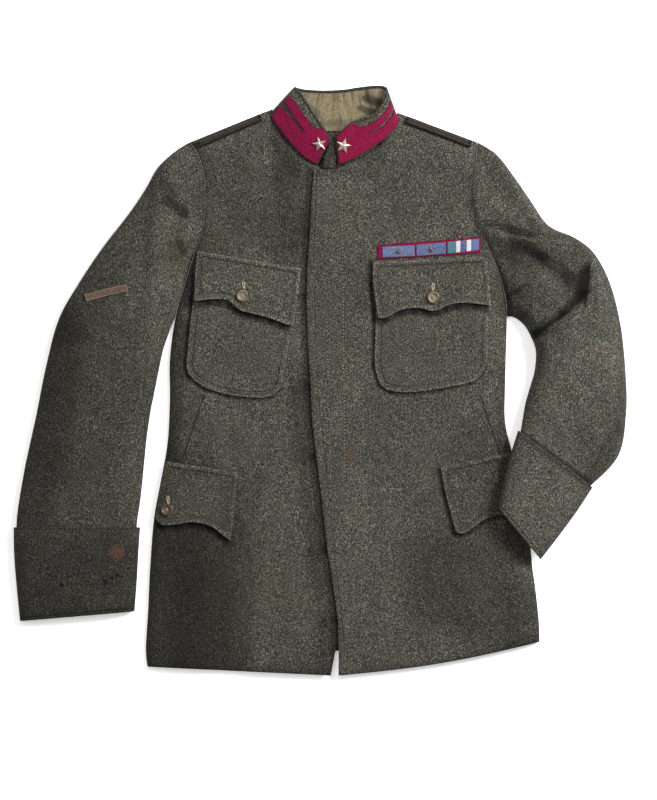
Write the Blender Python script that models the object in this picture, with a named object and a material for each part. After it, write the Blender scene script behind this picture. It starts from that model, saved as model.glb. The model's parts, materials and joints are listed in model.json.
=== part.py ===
"""Military tunic of grey-green wool, laid flat on its back with the left arm bent.

The garment lies on the plane z = 0. +X runs to the viewer's right, +Y towards the collar and +Z
up, away from the table. Right and left in the names are the wearer's. Every length in the tables
is in millimetres and is turned into metres when a mesh is made.
"""
import math

import bmesh
import bpy
import numpy as np
from mathutils import Vector
from mathutils.bvhtree import BVHTree

MM = 0.001

# Cloth and seams
WOOL = 2.2            # wool cloth of the shell
FELT = 1.2            # crimson collar patch
COTTON = 1.0          # collar lining
SEAM_GAP = 0.3        # free space between neighbouring pieces
SEAT_GAP = 0.8        # free space under a piece that lies on a curved panel
ARMHOLE_GAP = 0.8     # upper sleeve off the armhole edge, both cut along the same curve
UNDERARM_GAP = 2.3    # under sleeve off the armhole edge
SEAM_LEVEL = WOOL + SEAM_GAP

# Rounding of the folded edges, measured inwards from the edge
SIDE_ROLL = 30.0
SHOULDER_ROLL = 18.0
SLEEVE_ROLL = 24.0
UNDER_ROLL = 9.0

# Height of the seam between upper and under sleeve: share of the sleeve's height, and its level
# where the sleeve starts at the armhole
SLEEVE_SEAM = 0.36
ARMHOLE_SEAM = 4.0
ARMHOLE_LENGTH = 225.0  # along the seam, shoulder to underarm
SLEEVE_SEAM_GAP = 0.5

# Cells across a sleeve, which the armhole edges of the body repeat: in each roll and between
UPPER_CELLS = (4, 6)
UNDER_CELLS = (3, 5)

# Small hard parts
BUTTON_RADIUS = 8.1
BUTTON_HEIGHT = 3.4
STAR_HEIGHT = 2.2

# Height of the lofted front above the table, by place along the body: y, height
LOFT = [(-370, 11.5), (-330, 13.0), (-250, 14.5), (-130, 13.0), (0, 14.0), (120, 15.0),
        (220, 14.5), (300, 13.0), (340, 12.0)]

# Body side, hem to underarm: x, y, height of the edge
SIDE_RIGHT = [
    (-215, -358, 2.5), (-217, -335, 2.5), (-214, -285, 2.5), (-212, -240, 2.5),
    (-207, -175, 2.5), (-199, -130, 2.5), (-190, -80, 2.5), (-187, -25, 2.5), (-187, 25, 2.5),
]
SIDE_LEFT = [
    (275, -327, 2.5), (274, -300, 2.5), (270, -262, 2.5), (265, -225, 2.5),
    (261, -175, 2.5), (253, -131, 2.5), (240, -88, 2.5), (232, -52, 2.5), (232, -8, 2.5),
]

# Armhole seam, underarm to shoulder: x, y, height of the seam
ARMHOLE_RIGHT = [
    (-180, 78, 2.5), (-168, 120, 3.5), (-157, 155, 6.0), (-147, 182, 9.5), (-142, 212, 12.0),
    (-142, 238, 12.5), (-144, 258, 11.5), (-149, 275, 9.0), (-155, 288, 6.0), (-162, 297, 2.8),
]
ARMHOLE_LEFT = [
    (234, 79, 2.5), (231, 108, 3.5), (222, 140, 6.0), (208, 174, 9.5), (198, 201, 12.0),
    (193, 225, 12.5), (193, 244, 11.5), (195, 265, 9.5), (196, 282, 6.0), (197, 297, 2.8),
]

# Centre edge of each front, hem to neck and round the neck to the shoulder: x, y
CENTRE_RIGHT = [
    (14, -369), (19, -342), (31, -298), (36, -255), (38, -198), (38, -142), (38, -82), (38, -25),
    (38, 38), (37, 100), (36, 148), (35, 185), (34, 215), (34, 240), (32, 260), (2, 262),
    (-25.5, 279), (-47.5, 300.5), (-65, 336),
]
CENTRE_LEFT = [
    (24, -369), (24, -340), (23, -300), (18, -262), (10, -212), (3, -150), (-4, -96), (-9, -52),
    (-11, -8), (-15, 62), (-16, 104), (-15, 142), (-12, 182), (-10, 226), (-7, 262), (26, 263),
    (58, 277), (83.5, 293.5), (103, 332),
]

BACK_HEM_RISE = 6.0

# Back of the neck, right to left: x, y
BACK_NECK = [(-66, 336), (-55, 327), (-27, 320.5), (3, 318), (32, 318), (61, 320.5), (88, 327),
             (101, 333)]

# Soft troughs (negative) and ridges on the body: x, y to x, y, half width, depth
BODY_FOLDS = [
    (-62, 318, -57, 284, 8, -1.6),
    (-22, 236, -22, -30, 7, -1.1),
    (-80, -140, -99, -350, 21, -2.6),
    (-24, -125, -43, -345, 25, 1.6),
    (-150, -215, -165, -350, 20, 1.8),
    (101, 312, 104, 268, 8, -1.4),
    (126, -190, 116, -330, 22, -2.2),
    (176, -205, 196, -325, 20, 1.8),
    (-110, 215, -60, 185, 16, 1.2),
    (110, 222, 170, 205, 16, 1.0),
    (60, -20, 66, -170, 20, -1.0),
]

# Right sleeve, shoulder to cuff: outer x, y, inner x, y, height, lift, crown
SLEEVE_RIGHT = [
    (-181, 285, -184, 70, 14, 0, 0),
    (-202, 265, -188, 59, 16, 0, 1),
    (-217, 239, -195, 38, 17, 0, 2),
    (-237, 209, -199, 20, 18, 0, 2),
    (-271, 165, -203, 0, 18, 0, 3),
    (-301, 120, -207, -20, 18, 0, 3),
    (-326, 75, -211, -40, 18, 0, 3),
    (-342, 15, -216, -75, 17, 0, 3),
    (-354, -45, -219, -105, 16, 0, 3),
    (-368, -110, -223, -145, 15, 1.5, 2),
    (-377.5, -168, -227.5, -176, 14, 3.0, 2),
    (-378, -197, -229, -197, 14, 3.0, 2),
]
CUFF_RIGHT = [
    (-382, -184, -224, -184, 20, 0, 2),
    (-381.5, -215, -226, -214, 20, 0, 2),
    (-379, -250, -228, -250, 19, 0, 2),
    (-374, -301, -231, -289, 18, 0, 2),
]

# Left sleeve, bent at the elbow: outer x, y, inner x, y, height, inner lift, outer lift, crown
SLEEVE_LEFT = [
    (221, 282, 241, 79, 15, 0, 0, 1),
    (243, 254, 247, 76, 19, 0, 0, 2),
    (263, 225, 256, 68, 23, 0, 0, 3),
    (289, 198, 262, 58, 27, 0, 0, 4),
    (318, 178, 267, 47, 30, 0, 0, 4),
    (343, 158, 270, 37, 32, 0, 0, 4),
    (363, 120, 270, 25, 33, 0, 0, 4),
    (376, 68, 268, 9, 33, 0, 0, 4),
    (382, 12, 263, -8, 32, 0.5, 0, 4),
    (383, -40, 257, -29, 30, 2.5, 0.5, 4),
    (373, -95, 253, -51, 24, 10.5, 2.5, 3),
    (334, -136.5, 249, -72, 19.6, 21, 6, 2),
    (323, -150, 245, -84, 19, 23, 8, 2),
]
CUFF_LEFT = [
    (341, -134, 247.5, -63, 27.7, 15.5, 2.2, 2),
    (322, -163, 238, -93, 26, 20, 4.8, 2),
    (300, -193, 229, -128, 24, 23, 7, 2),
    (276, -224, 222, -159, 22, 22, 8, 2),
]

# Creases on the sleeves: x, y to x, y, half width, depth
SLEEVE_RIGHT_FOLDS = [
    (-214, 236, -222, 144, 9, -2.4),
    (-204, 228, -207, 150, 9, 1.6),
    (-196, 30, -260, 60, 12, -1.6),
    (-300, 30, -240, -60, 16, 1.4),
]
SLEEVE_LEFT_FOLDS = [
    (212, 182, 300, 181, 9, 3.0),
    (300, 181, 338, 168, 9, 3.0),
    (222, 150, 310, 150, 15, -4.0),
    (300, 140, 334, 134, 12, -4.0),
    (340, 128, 300, 96, 8, 3.0),
    (300, 90, 272, 52, 8, 2.5),
    (236, 104, 262, 130, 8, -2.0),
]

# Collar band, round the neck from the right front to the left front:
# base x, y, z, top x, y, z of the outer face
COLLAR = [
    (-3, 268, 14.5, 14, 300, 22),
    (-15, 275, 14.2, 7, 312, 24),
    (-25, 283, 14, -2, 325, 25),
    (-42, 302, 13.5, -13, 342, 25),
    (-55, 320, 12, -23, 357, 22),
    (-62, 332, 7, -31, 366, 13),
    (-55, 331, 1.2, -27, 365, 3.5),
    (-40, 325.5, 0, -16, 363, 0.2),
    (-15, 321, 0, 0, 362, 0),
    (3, 319, 0, 10, 362, 0),
    (32, 319, 0, 30, 363, 0),
    (61, 321.5, 0, 50, 366, 0),
    (82, 326.5, 0, 69, 368, 0.2),
    (94, 331, 1.2, 81, 367, 3.5),
    (97, 329.5, 7, 85, 362, 13),
    (95.5, 316.5, 12, 80, 346, 22),
    (79, 299, 13.5, 67, 331, 25),
    (57, 284, 14, 52, 326, 25),
    (39, 274, 14.2, 38, 320, 24),
    (23, 269, 14.5, 20, 303, 22),
]
COLLAR_BULGE = 1.5             # outward curve of the band between foot and top
LINING_SPAN = (5.5, 13.6)      # first and last collar station behind the lining
LINING_GAP = 0.4
PATCH_SPAN = 4.6               # stations that a collar patch covers

# Top edge of a collar patch: stations from the collar's end, share of the collar's height
PATCH_TOP = [(0.12, 0.97), (1.2, 0.97), (1.9, 0.76), (4.6, 0.74)]

# Patch pockets: side nearer the viewer's left, bottom and side nearer the viewer's right: x, y
BREAST_POCKET_RIGHT = {
    "left": [(-157, 107), (-158, 95), (-162, 60), (-166, 22)],
    "bottom": [(-166, 22), (-162, 6), (-143, -9), (-114, -18), (-81, -22), (-60, -20), (-47, -8)],
    "right": [(-37, 76), (-36, 62), (-41, 30), (-47, -8)],
}
BREAST_POCKET_LEFT = {
    "left": [(70, 87), (70, 75), (69, 20), (76, -6)],
    "bottom": [(76, -6), (90, -14), (119, -15), (154, -10), (188, -3), (203, 8), (209, 22)],
    "right": [(211, 101), (211, 88), (210, 55), (209, 22)],
}

# Scalloped flaps: the same three lines
BREAST_FLAP_RIGHT = {
    "left": [(-151, 161), (-154, 130), (-155, 98)],
    "bottom": [(-155, 98), (-138, 100.5), (-124, 101), (-112, 99), (-103, 90), (-96, 86),
               (-88, 84), (-77, 81), (-59, 76), (-46, 71), (-33, 67)],
    "right": [(-23, 139), (-28, 104), (-33, 67)],
}
BREAST_FLAP_LEFT = {
    "left": [(66, 147), (66.5, 120), (73, 77)],
    "bottom": [(73, 77), (83, 78), (102, 87.5), (119, 90), (131, 88.5), (139, 86), (148, 87),
               (158, 92), (174, 96), (196, 95), (213, 92.5)],
    "right": [(208, 154), (211, 124), (213, 92.5)],
}
LOWER_FLAP_RIGHT = {
    "left": [(-190, -102), (-197, -137), (-203, -172)],
    "bottom": [(-203, -172), (-195, -181), (-177, -180), (-157, -177.5), (-136, -182.5),
               (-122, -193), (-111, -201)],
    "right": [(-102, -115), (-106, -158), (-111, -201)],
}
LOWER_FLAP_LEFT = {
    "left": [(151, -109), (157, -140), (170, -190)],
    "bottom": [(170, -190), (178, -192), (188, -187), (203, -176), (220, -169), (238, -168),
               (256, -164)],
    "right": [(236, -91), (248, -130), (256, -164)],
}

# Buttons: x, y
BREAST_BUTTON_RIGHT = (-96, 105)
BREAST_BUTTON_LEFT = (142, 103)
LOWER_BUTTON_RIGHT = (-190, -162)
LOWER_BUTTON_LEFT = (242, -140)

# Collar stars: x, y, radius
STAR_RIGHT = (0, 294, 9.6)
STAR_LEFT = (30, 292, 10.2)

SHOULDER_RIGHT = ((-156, 296.5), (-67, 334.5))
SHOULDER_LEFT = ((194, 296.5), (102, 331.5))
STRAP_WIDTH = 11.0
STRAP_THICKNESS = 2.4

RIBBON_CORNERS = [(74, 166), (201, 176), (201, 159), (74, 150)]
RIBBON_THICKNESS = 1.6

STRIPE_LINE = [(-292, 102), (-266, 109), (-239, 115)]
STRIPE_WIDTH = 9.0
STRIPE_THICKNESS = 1.4

TAB_SIZE = (7.0, 42.0)
TAB_START = (17.0, 263.9, 15.4)
TAB_RISE = 3.0

# Colour, roughness, metallic
MATERIALS = {
    "wool": ((0.085, 0.088, 0.068), 0.95, 0.0),
    "felt": ((0.50, 0.018, 0.075), 0.9, 0.0),
    "cotton": ((0.60, 0.54, 0.38), 0.85, 0.0),
    "button": ((0.22, 0.14, 0.07), 0.45, 0.0),
    "silver": ((0.66, 0.63, 0.58), 0.35, 1.0),
    "strap": ((0.030, 0.022, 0.020), 0.85, 0.0),
    "ribbon": ((0.16, 0.24, 0.46), 0.75, 0.0),
    "braid": ((0.15, 0.075, 0.032), 0.85, 0.0),
}


def clear_scene():
    for item in list(bpy.data.objects):
        bpy.data.objects.remove(item, do_unlink=True)


def make_materials():
    made = {}
    for name, (colour, roughness, metallic) in MATERIALS.items():
        material = bpy.data.materials.new(name)
        material.use_nodes = True
        shader = material.node_tree.nodes["Principled BSDF"]
        shader.inputs["Base Color"].default_value = (*colour, 1.0)
        shader.inputs["Roughness"].default_value = roughness
        shader.inputs["Metallic"].default_value = metallic
        material.diffuse_color = (*colour, 1.0)
        made[name] = material
    return made


def smooth_rows(table, positions):
    """Reads a smooth curve through the rows of a table; a position counts rows from 0."""
    table = np.asarray(table, dtype=float)
    positions = np.asarray(positions, dtype=float)
    last = len(table) - 1
    start = np.clip(np.floor(positions).astype(int), 0, last - 1)
    share = (positions - start).reshape((-1,) + (1,) * (table.ndim - 1))
    before = table[np.maximum(start - 1, 0)]
    first = table[start]
    second = table[start + 1]
    after = table[np.minimum(start + 2, last)]
    square = share * share
    cube = square * share
    return 0.5 * (2 * first + (second - before) * share
                  + (2 * before - 5 * first + 4 * second - after) * square
                  + (3 * first - before - 3 * second + after) * cube)


def even_rows(table, count):
    return smooth_rows(table, np.linspace(0, len(table) - 1, count))


def straight_rows(table, positions):
    """Reads straight lines between the rows of a table, for edges that have corners."""
    table = np.asarray(table, dtype=float)
    counts = np.arange(len(table))
    return np.column_stack([np.interp(positions, counts, column) for column in table.T])


def straight_between(table, places):
    """Second column of a two-column table, read at places along the first."""
    table = np.array(table, dtype=float)
    return np.interp(places, table[:, 0], table[:, 1])


def cell_count(cells):
    """Cells across a sleeve half: two rolls and the flat between them."""
    return 2 * cells[0] + cells[1]


def side_positions(side_cells, cells):
    """Positions in a side table: even to the underarm, then one for each sleeve column."""
    underarm = len(SIDE_RIGHT)
    shoulder = underarm + len(ARMHOLE_RIGHT) - 1
    if cells == UNDER_CELLS:
        share = section_spacing(ARMHOLE_LENGTH, UNDER_ROLL, *cells)[0] / ARMHOLE_LENGTH
    else:
        share = np.linspace(0.0, 1.0, cell_count(cells) + 1)
    return np.concatenate([np.linspace(0, underarm, side_cells + 1)[:-1],
                           underarm + (shoulder - underarm) * share])


def rounded(share):
    """Height of a quarter round: 0 at the edge, 1 from one radius inwards."""
    inwards = 1.0 - np.clip(share, 0.0, 1.0)
    return np.sqrt(1.0 - inwards * inwards)


def fold_height(x, y, folds):
    """Sum of the soft troughs and ridges at the plan points x, y."""
    total = np.zeros(np.broadcast(x, y).shape)
    for x0, y0, x1, y1, half_width, depth in folds:
        run = np.array([x1 - x0, y1 - y0], dtype=float)
        length = np.hypot(*run)
        along = ((x - x0) * run[0] + (y - y0) * run[1]) / length
        across = ((x - x0) * run[1] - (y - y0) * run[0]) / length
        past_end = np.maximum(np.maximum(-along, along - length), 0.0)
        total = total + depth * np.exp(-(across ** 2 + past_end ** 2) / half_width ** 2)
    return total


def shoulder_line(x):
    """y of the shoulder seam above the plan point x."""
    (x0, y0), (x1, y1) = (-162, 297), (-65, 336)
    (x2, y2), (x3, y3) = (100, 333), (197, 297)
    return np.interp(x, [x0 - 40, x1, x2, x3 + 40], [y0 - 16, y1, y2, y3 - 15])


def body_height(x, y):
    """Height of the outer face of the fronts, away from their sides."""
    loft = straight_between(LOFT, y) + fold_height(x, y, BODY_FOLDS)
    from_shoulder = (shoulder_line(x) - y) * 0.93
    return SEAM_LEVEL + (loft - SEAM_LEVEL) * rounded(from_shoulder / SHOULDER_ROLL)


def overlap_lift(x, y):
    """How far the upper front is raised where it lies on the lower one."""
    edge = np.array(CENTRE_RIGHT[:15], dtype=float)
    lower_edge = np.interp(y, edge[:, 1], edge[:, 0])
    share = np.clip((x - lower_edge - 2.0) / 32.0, 0.0, 1.0)
    return (WOOL + SEAM_GAP + 0.2) * (1.0 - share * share * (3.0 - 2.0 * share))


def front_grid(side, centre, side_cells, roll_steps, flat_steps, on_top, hem_bow):
    """Outer face of one front, hem to shoulder by side to centre edge."""
    positions = side_positions(side_cells, UPPER_CELLS)
    side = smooth_rows(side, positions)
    centre = straight_rows(centre, positions)
    angle = np.linspace(0.0, math.pi / 2, roll_steps + 1)
    near = SIDE_ROLL * (1.0 - np.cos(angle))
    grid = []
    for index, (edge, middle) in enumerate(zip(side, centre)):
        run = middle - edge[:2]
        length = np.hypot(*run)
        distance = np.concatenate([near, np.linspace(SIDE_ROLL, length, flat_steps + 1)[1:]])
        x = edge[0] + run[0] * distance / length
        y = edge[1] + run[1] * distance / length
        bow = hem_bow * max(0.0, 1.0 - index / 3.0)
        y = y - bow * np.sin(math.pi * distance / length)
        z = body_height(x, y)
        if on_top:
            z = z + overlap_lift(x, y)
        z = edge[2] + (z - edge[2]) * rounded(distance / SIDE_ROLL)
        grid.append(np.column_stack([x, y, z]))
    return np.array(grid)


def back_grid(side_cells, columns):
    """Outer face of the back, which lies on the table; its hem is a little shorter."""
    positions = side_positions(side_cells, UNDER_CELLS)
    right = smooth_rows(SIDE_RIGHT + ARMHOLE_RIGHT, positions)[:, :2]
    left = smooth_rows(SIDE_LEFT + ARMHOLE_LEFT, positions)[:, :2]
    right[0, 1] += BACK_HEM_RISE
    left[0, 1] += BACK_HEM_RISE / 2
    outline = np.array([right[-1]] + BACK_NECK + [left[-1]])
    share = np.linspace(0.0, 1.0, columns)[:, None]
    rows = [start + (end - start) * share for start, end in zip(right[:-1], left[:-1])]
    top_x = np.linspace(outline[0, 0], outline[-1, 0], columns)
    rows.append(np.column_stack([top_x, np.interp(top_x, outline[:, 0], outline[:, 1])]))
    plan = np.array(rows)
    return np.dstack([plan, np.zeros(plan.shape[:2])])


def section_spacing(width, reach, roll_steps, flat_steps):
    """Distances across a flattened tube and the share of its height reached at each."""
    angle = np.linspace(0.0, math.pi / 2, roll_steps + 1)
    near = reach * (1.0 - np.cos(angle))
    middle = np.linspace(reach, width - reach, flat_steps + 1)[1:-1]
    distance = np.concatenate([near, middle, width - near[::-1]])
    share = np.concatenate([np.sin(angle), np.ones(len(middle)), np.sin(angle[::-1])])
    return distance, share


def tube_half(station, upper):
    """One row across the upper or the under half of a flattened sleeve: x, y, z, seam level."""
    roll_steps, flat_steps = UPPER_CELLS if upper else UNDER_CELLS
    outer_x, outer_y, inner_x, inner_y, height, inner_lift, outer_lift, crown = station
    width = math.hypot(inner_x - outer_x, inner_y - outer_y)
    reach = SLEEVE_ROLL if upper else UNDER_ROLL
    distance, share = section_spacing(width, reach, roll_steps, flat_steps)
    across = distance / width
    x = outer_x + (inner_x - outer_x) * across
    y = outer_y + (inner_y - outer_y) * across
    lift = outer_lift + (inner_lift - outer_lift) * across
    seam = height * SLEEVE_SEAM
    if upper:
        level = lift + seam + SLEEVE_SEAM_GAP / 2
        z = level + (height - seam) * share
        z = z + crown * np.sin(math.pi * across) * share
    else:
        level = lift + seam - SLEEVE_SEAM_GAP / 2
        z = lift + (level - lift) * (1.0 - share)
    return np.column_stack([x, y, z, level])


def armhole_row(side, armhole, outwards, upper):
    """First row of a sleeve half: the armhole seam, moved off the body."""
    roll_steps, flat_steps = UPPER_CELLS if upper else UNDER_CELLS
    columns = cell_count((roll_steps, flat_steps)) + 1
    curve = side + armhole
    row = smooth_rows(curve, side_positions(1, UPPER_CELLS if upper else UNDER_CELLS)[:0:-1])
    row[:, 0] += outwards * (ARMHOLE_GAP if upper else UNDERARM_GAP)
    level = ARMHOLE_SEAM + SLEEVE_SEAM_GAP / 2 * (1.0 if upper else -1.0)
    if upper:
        row[:, 2] = np.maximum(row[:, 2], level)
    else:
        from_edge = np.minimum(np.arange(columns), columns - 1 - np.arange(columns))
        row[:, 2] = level * (1.0 - np.sin(math.pi / 2 * np.minimum(from_edge / roll_steps, 1.0)))
    return np.column_stack([row, np.full(len(row), level)])


def sleeve_grid(first_row, stations, folds, upper, rows):
    """Outer face of a sleeve half, armhole to cuff by outer to inner edge."""
    table = [first_row] + [tube_half(station, upper) for station in stations]
    grid = even_rows(np.array(table), rows)
    grid[:, :, 2] = np.maximum(grid[:, :, 2], 0.0)
    if upper:
        columns = grid.shape[1]
        from_edge = np.minimum(np.arange(columns), columns - 1 - np.arange(columns))
        inwards = from_edge / UPPER_CELLS[0]
        fade = rounded(inwards)
        fade = fade[None, :] * np.minimum(np.arange(rows) / 2.0, 1.0)[:, None]
        grid[:, :, 2] += fold_height(grid[:, :, 0], grid[:, :, 1], folds) * fade
    return grid


def level_stations(stations):
    """Gives a sleeve that lies level the two lifts that a tilted one has."""
    return [(*row[:5], row[5], row[5], row[6]) for row in stations]


def cuff_grid(stations, rows):
    """Closed rings of a cuff: over the top from outer to inner edge, and back underneath."""
    table = []
    for station in stations:
        top = tube_half(station, True)
        under = tube_half(station, False)
        table.append(np.vstack([top, under[-2:0:-1]])[:, :3])
    ring = even_rows(np.array(table), rows)
    ring[:, :, 2] = np.maximum(ring[:, :, 2], 0.0)
    return ring


def collar_face(first, last, rows, lowest, highest, columns):
    """Outer face of the collar band between two stations and two shares of its height."""
    table = smooth_rows(COLLAR, np.linspace(first, last, rows))
    share = np.linspace(0.0, 1.0, columns)
    lowest = np.broadcast_to(lowest, rows)
    highest = np.broadcast_to(highest, rows)
    grid = []
    for row, low, high in zip(table, lowest, highest):
        place = low + (high - low) * share
        points = row[:3] + (row[3:] - row[:3]) * place[:, None]
        bulge = COLLAR_BULGE * min(1.0, row[5] / 20.0)
        points[:, 2] += bulge * np.sin(math.pi * np.clip(place, 0, 1))
        points[:, 2] = np.maximum(points[:, 2], 0.0)
        grid.append(points)
    return np.array(grid)


def grid_normals(grid, cyclic):
    """Unit normals of a grid of points, on the side where rows turn into columns."""
    if cyclic:
        wide = np.concatenate([grid[:, -1:], grid, grid[:, :1]], axis=1)
        along_columns = wide[:, 2:] - wide[:, :-2]
    else:
        along_columns = np.gradient(grid, axis=1)
    along_rows = np.gradient(grid, axis=0)
    normal = np.cross(along_columns, along_rows)
    return normal / np.linalg.norm(normal, axis=2, keepdims=True)


def make_object(name, vertices, faces, material):
    mesh = bpy.data.meshes.new(name)
    mesh.from_pydata([tuple(point * MM) for point in np.asarray(vertices, dtype=float)], [], faces)
    work = bmesh.new()
    work.from_mesh(mesh)
    bmesh.ops.recalc_face_normals(work, faces=work.faces)
    work.to_mesh(mesh)
    work.free()
    mesh.shade_smooth()
    mesh.set_sharp_from_angle(angle=math.radians(40))
    made = bpy.data.objects.new(name, mesh)
    made.data.materials.append(material)
    bpy.context.collection.objects.link(made)
    return made


def wall(name, face, other, material, cyclic=False, keep=None):
    """Closed solid between two grids of points; keep marks the cells that exist."""
    rows, columns = face.shape[:2]
    cells = columns if cyclic else columns - 1
    offset = rows * columns
    faces = []
    edge_use = {}
    for i in range(rows - 1):
        for j in range(cells):
            if keep is not None and not keep[i, j]:
                continue
            a = i * columns + j
            b = i * columns + (j + 1) % columns
            corners = (a, b, b + columns, a + columns)
            faces.append(corners)
            faces.append(tuple(offset + corner for corner in reversed(corners)))
            for start, end in zip(corners, corners[1:] + corners[:1]):
                if (end, start) in edge_use:
                    del edge_use[(end, start)]
                else:
                    edge_use[(start, end)] = True
    for start, end in edge_use:
        faces.append((end, start, offset + start, offset + end))
    points = np.concatenate([face.reshape(-1, 3), other.reshape(-1, 3)])
    used = sorted({corner for item in faces for corner in item})
    number = {old: new for new, old in enumerate(used)}
    faces = [tuple(number[corner] for corner in item) for item in faces]
    return make_object(name, points[used], faces, material)


def section_steps(face, roll_cells, thickness):
    """Steps into an under sleeve along its own section: level at its edges, up in its middle."""
    columns = face.shape[1]
    from_edge = np.minimum(np.arange(columns), columns - 1 - np.arange(columns))
    angle = math.pi / 2 * np.minimum(from_edge / roll_cells, 1.0)
    across = (face[:, -1] - face[:, 0]) * np.array([1.0, 1.0, 0.0])
    across = across / np.linalg.norm(across, axis=1, keepdims=True)
    side = np.where(np.arange(columns) < columns / 2, 1.0, -1.0)
    level = (np.cos(angle) * side)[None, :, None] * across[:, None, :]
    upwards = np.sin(angle)[None, :, None] * np.array([0.0, 0.0, 1.0])
    return thickness * (level + upwards)


def cloth_wall(name, face, thickness, material, inside, cyclic=False, floor=None, ceiling=None):
    """Cloth of even thickness behind a grid of points, cut level where a seam limits it."""
    if ceiling is None:
        step = inside * thickness * grid_normals(face, cyclic)
    else:
        step = section_steps(face, UNDER_CELLS[0], thickness)
    other = face + step
    if floor is not None:
        other[:, :, 2] = np.maximum(other[:, :, 2], np.minimum(face[:, :, 2], floor))
    if ceiling is not None:
        other[:, :, 2] = np.minimum(other[:, :, 2], np.maximum(face[:, :, 2], ceiling))
    return wall(name, face, other, material, cyclic)


def carrier_of(*grids):
    """Search tree of outer faces, in millimetres, on which other pieces are laid."""
    points = []
    faces = []
    for grid in grids:
        rows, columns = grid.shape[:2]
        first = len(points)
        points += [tuple(point) for point in grid.reshape(-1, 3)]
        for i in range(rows - 1):
            for j in range(columns - 1):
                a = first + i * columns + j
                faces.append((a, a + 1, a + columns + 1, a + columns))
    return BVHTree.FromPolygons(points, faces)


def height_on(carrier, x, y):
    hit = carrier.ray_cast(Vector((x, y, 200.0)), Vector((0.0, 0.0, -1.0)))
    return None if hit[0] is None else hit[0].z


def drop_on(carrier, x, y):
    """Point of the carrier under x, y, or its nearest edge where nothing lies below."""
    height = height_on(carrier, x, y)
    if height is not None:
        return np.array([x, y, height])
    return np.array(carrier.find_nearest(Vector((x, y, SEAM_LEVEL)))[0])


def seat(carrier, x, y):
    """Point on the carrier under x, y and the smoothed direction away from it."""
    step = 2.5
    place = drop_on(carrier, x, y)
    here = place[2]
    slopes = []
    for dx, dy in ((step, 0.0), (0.0, step)):
        ahead = height_on(carrier, x + dx, y + dy)
        behind = height_on(carrier, x - dx, y - dy)
        if ahead is None and behind is None:
            slopes.append(0.0)
        elif ahead is None:
            slopes.append((here - behind) / step)
        elif behind is None:
            slopes.append((ahead - here) / step)
        else:
            slopes.append((ahead - behind) / (2 * step))
    normal = np.array([-slopes[0], -slopes[1], 1.0])
    return place, normal / np.linalg.norm(normal)


def laid_on(name, plan, carrier, lift, thickness, material):
    """Thin piece on a carrier: plan holds x, y; lift is the free space below it."""
    lift = np.broadcast_to(lift, plan.shape[:2])
    bottom = np.zeros((*plan.shape[:2], 3))
    top = np.zeros_like(bottom)
    for i in range(plan.shape[0]):
        for j in range(plan.shape[1]):
            point, normal = seat(carrier, *plan[i, j])
            bottom[i, j] = point + normal * lift[i, j]
            top[i, j] = point + normal * (lift[i, j] + thickness)
    wall(name, top, bottom, material)
    return top


def pocket_plan(outline, rows, columns):
    """Fills the area between two sides, a straight top and a shaped bottom line."""
    left = even_rows(outline["left"], rows)
    right = even_rows(outline["right"], rows)
    bottom = even_rows(outline["bottom"], columns)
    share = np.linspace(0.0, 1.0, columns)[:, None]
    chord = bottom[0] + (bottom[-1] - bottom[0]) * share
    plan = []
    for i in range(rows):
        drop = (i / (rows - 1)) ** 1.5
        row = left[i] + (right[i] - left[i]) * share
        plan.append(row + (bottom - chord) * drop)
    return np.array(plan)


def strip_plan(line, width, rows):
    """A band of even width along a plan line, five points across."""
    line = even_rows(line, rows)
    run = np.gradient(line, axis=0)
    side = np.column_stack([-run[:, 1], run[:, 0]])
    side = side / np.linalg.norm(side, axis=1, keepdims=True)
    share = np.linspace(-0.5, 0.5, 5)
    return np.array([[point + across * width * step for step in share]
                     for point, across in zip(line, side)])


def turned_button(name, place, carrier, lift, material):
    """Flat sewing button with a raised rim, set square on the cloth."""
    profile = [(0.86, 0.0), (1.0, 0.25), (1.0, 0.7), (0.9, 1.0), (0.72, 0.95), (0.62, 0.66)]
    segments = 18
    point, normal = seat(carrier, *place)
    turn = Vector((0.0, 0.0, 1.0)).rotation_difference(Vector(normal)).to_matrix()
    centre = Vector(point + normal * lift)
    vertices = []
    for radius, height in profile:
        for step in range(segments):
            angle = 2 * math.pi * step / segments
            local = Vector((radius * BUTTON_RADIUS * math.cos(angle),
                            radius * BUTTON_RADIUS * math.sin(angle), height * BUTTON_HEIGHT))
            vertices.append(centre + turn @ local)
    rings = len(profile)
    faces = []
    for ring in range(rings - 1):
        for step in range(segments):
            after = (step + 1) % segments
            faces.append((ring * segments + step, ring * segments + after,
                          (ring + 1) * segments + after, (ring + 1) * segments + step))
    faces.append(tuple(reversed(range(segments))))
    faces.append(tuple(range((rings - 1) * segments, rings * segments)))
    make_object(name, [tuple(vertex) for vertex in vertices], faces, material)


def collar_star(name, place, carrier, material):
    """Five-pointed star with raised facets on a flat base."""
    x, y, radius = place
    point, normal = seat(carrier, x, y)
    turn = Vector((0.0, 0.0, 1.0)).rotation_difference(Vector(normal)).to_matrix()
    centre = Vector(point + normal * SEAT_GAP)
    vertices = []
    for level in (0.0, 0.6):
        for step in range(10):
            reach = radius if step % 2 == 0 else radius * 0.42
            angle = math.pi / 2 + math.pi * step / 5
            local = Vector((reach * math.cos(angle), reach * math.sin(angle), level))
            vertices.append(centre + turn @ local)
    vertices.append(centre)
    vertices.append(centre + turn @ Vector((0.0, 0.0, STAR_HEIGHT)))
    faces = []
    for step in range(10):
        after = (step + 1) % 10
        faces.append((step, after, after + 10, step + 10))
        faces.append((after, step, 20))
        faces.append((step + 10, after + 10, 21))
    make_object(name, [tuple(vertex) for vertex in vertices], faces, material)


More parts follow.
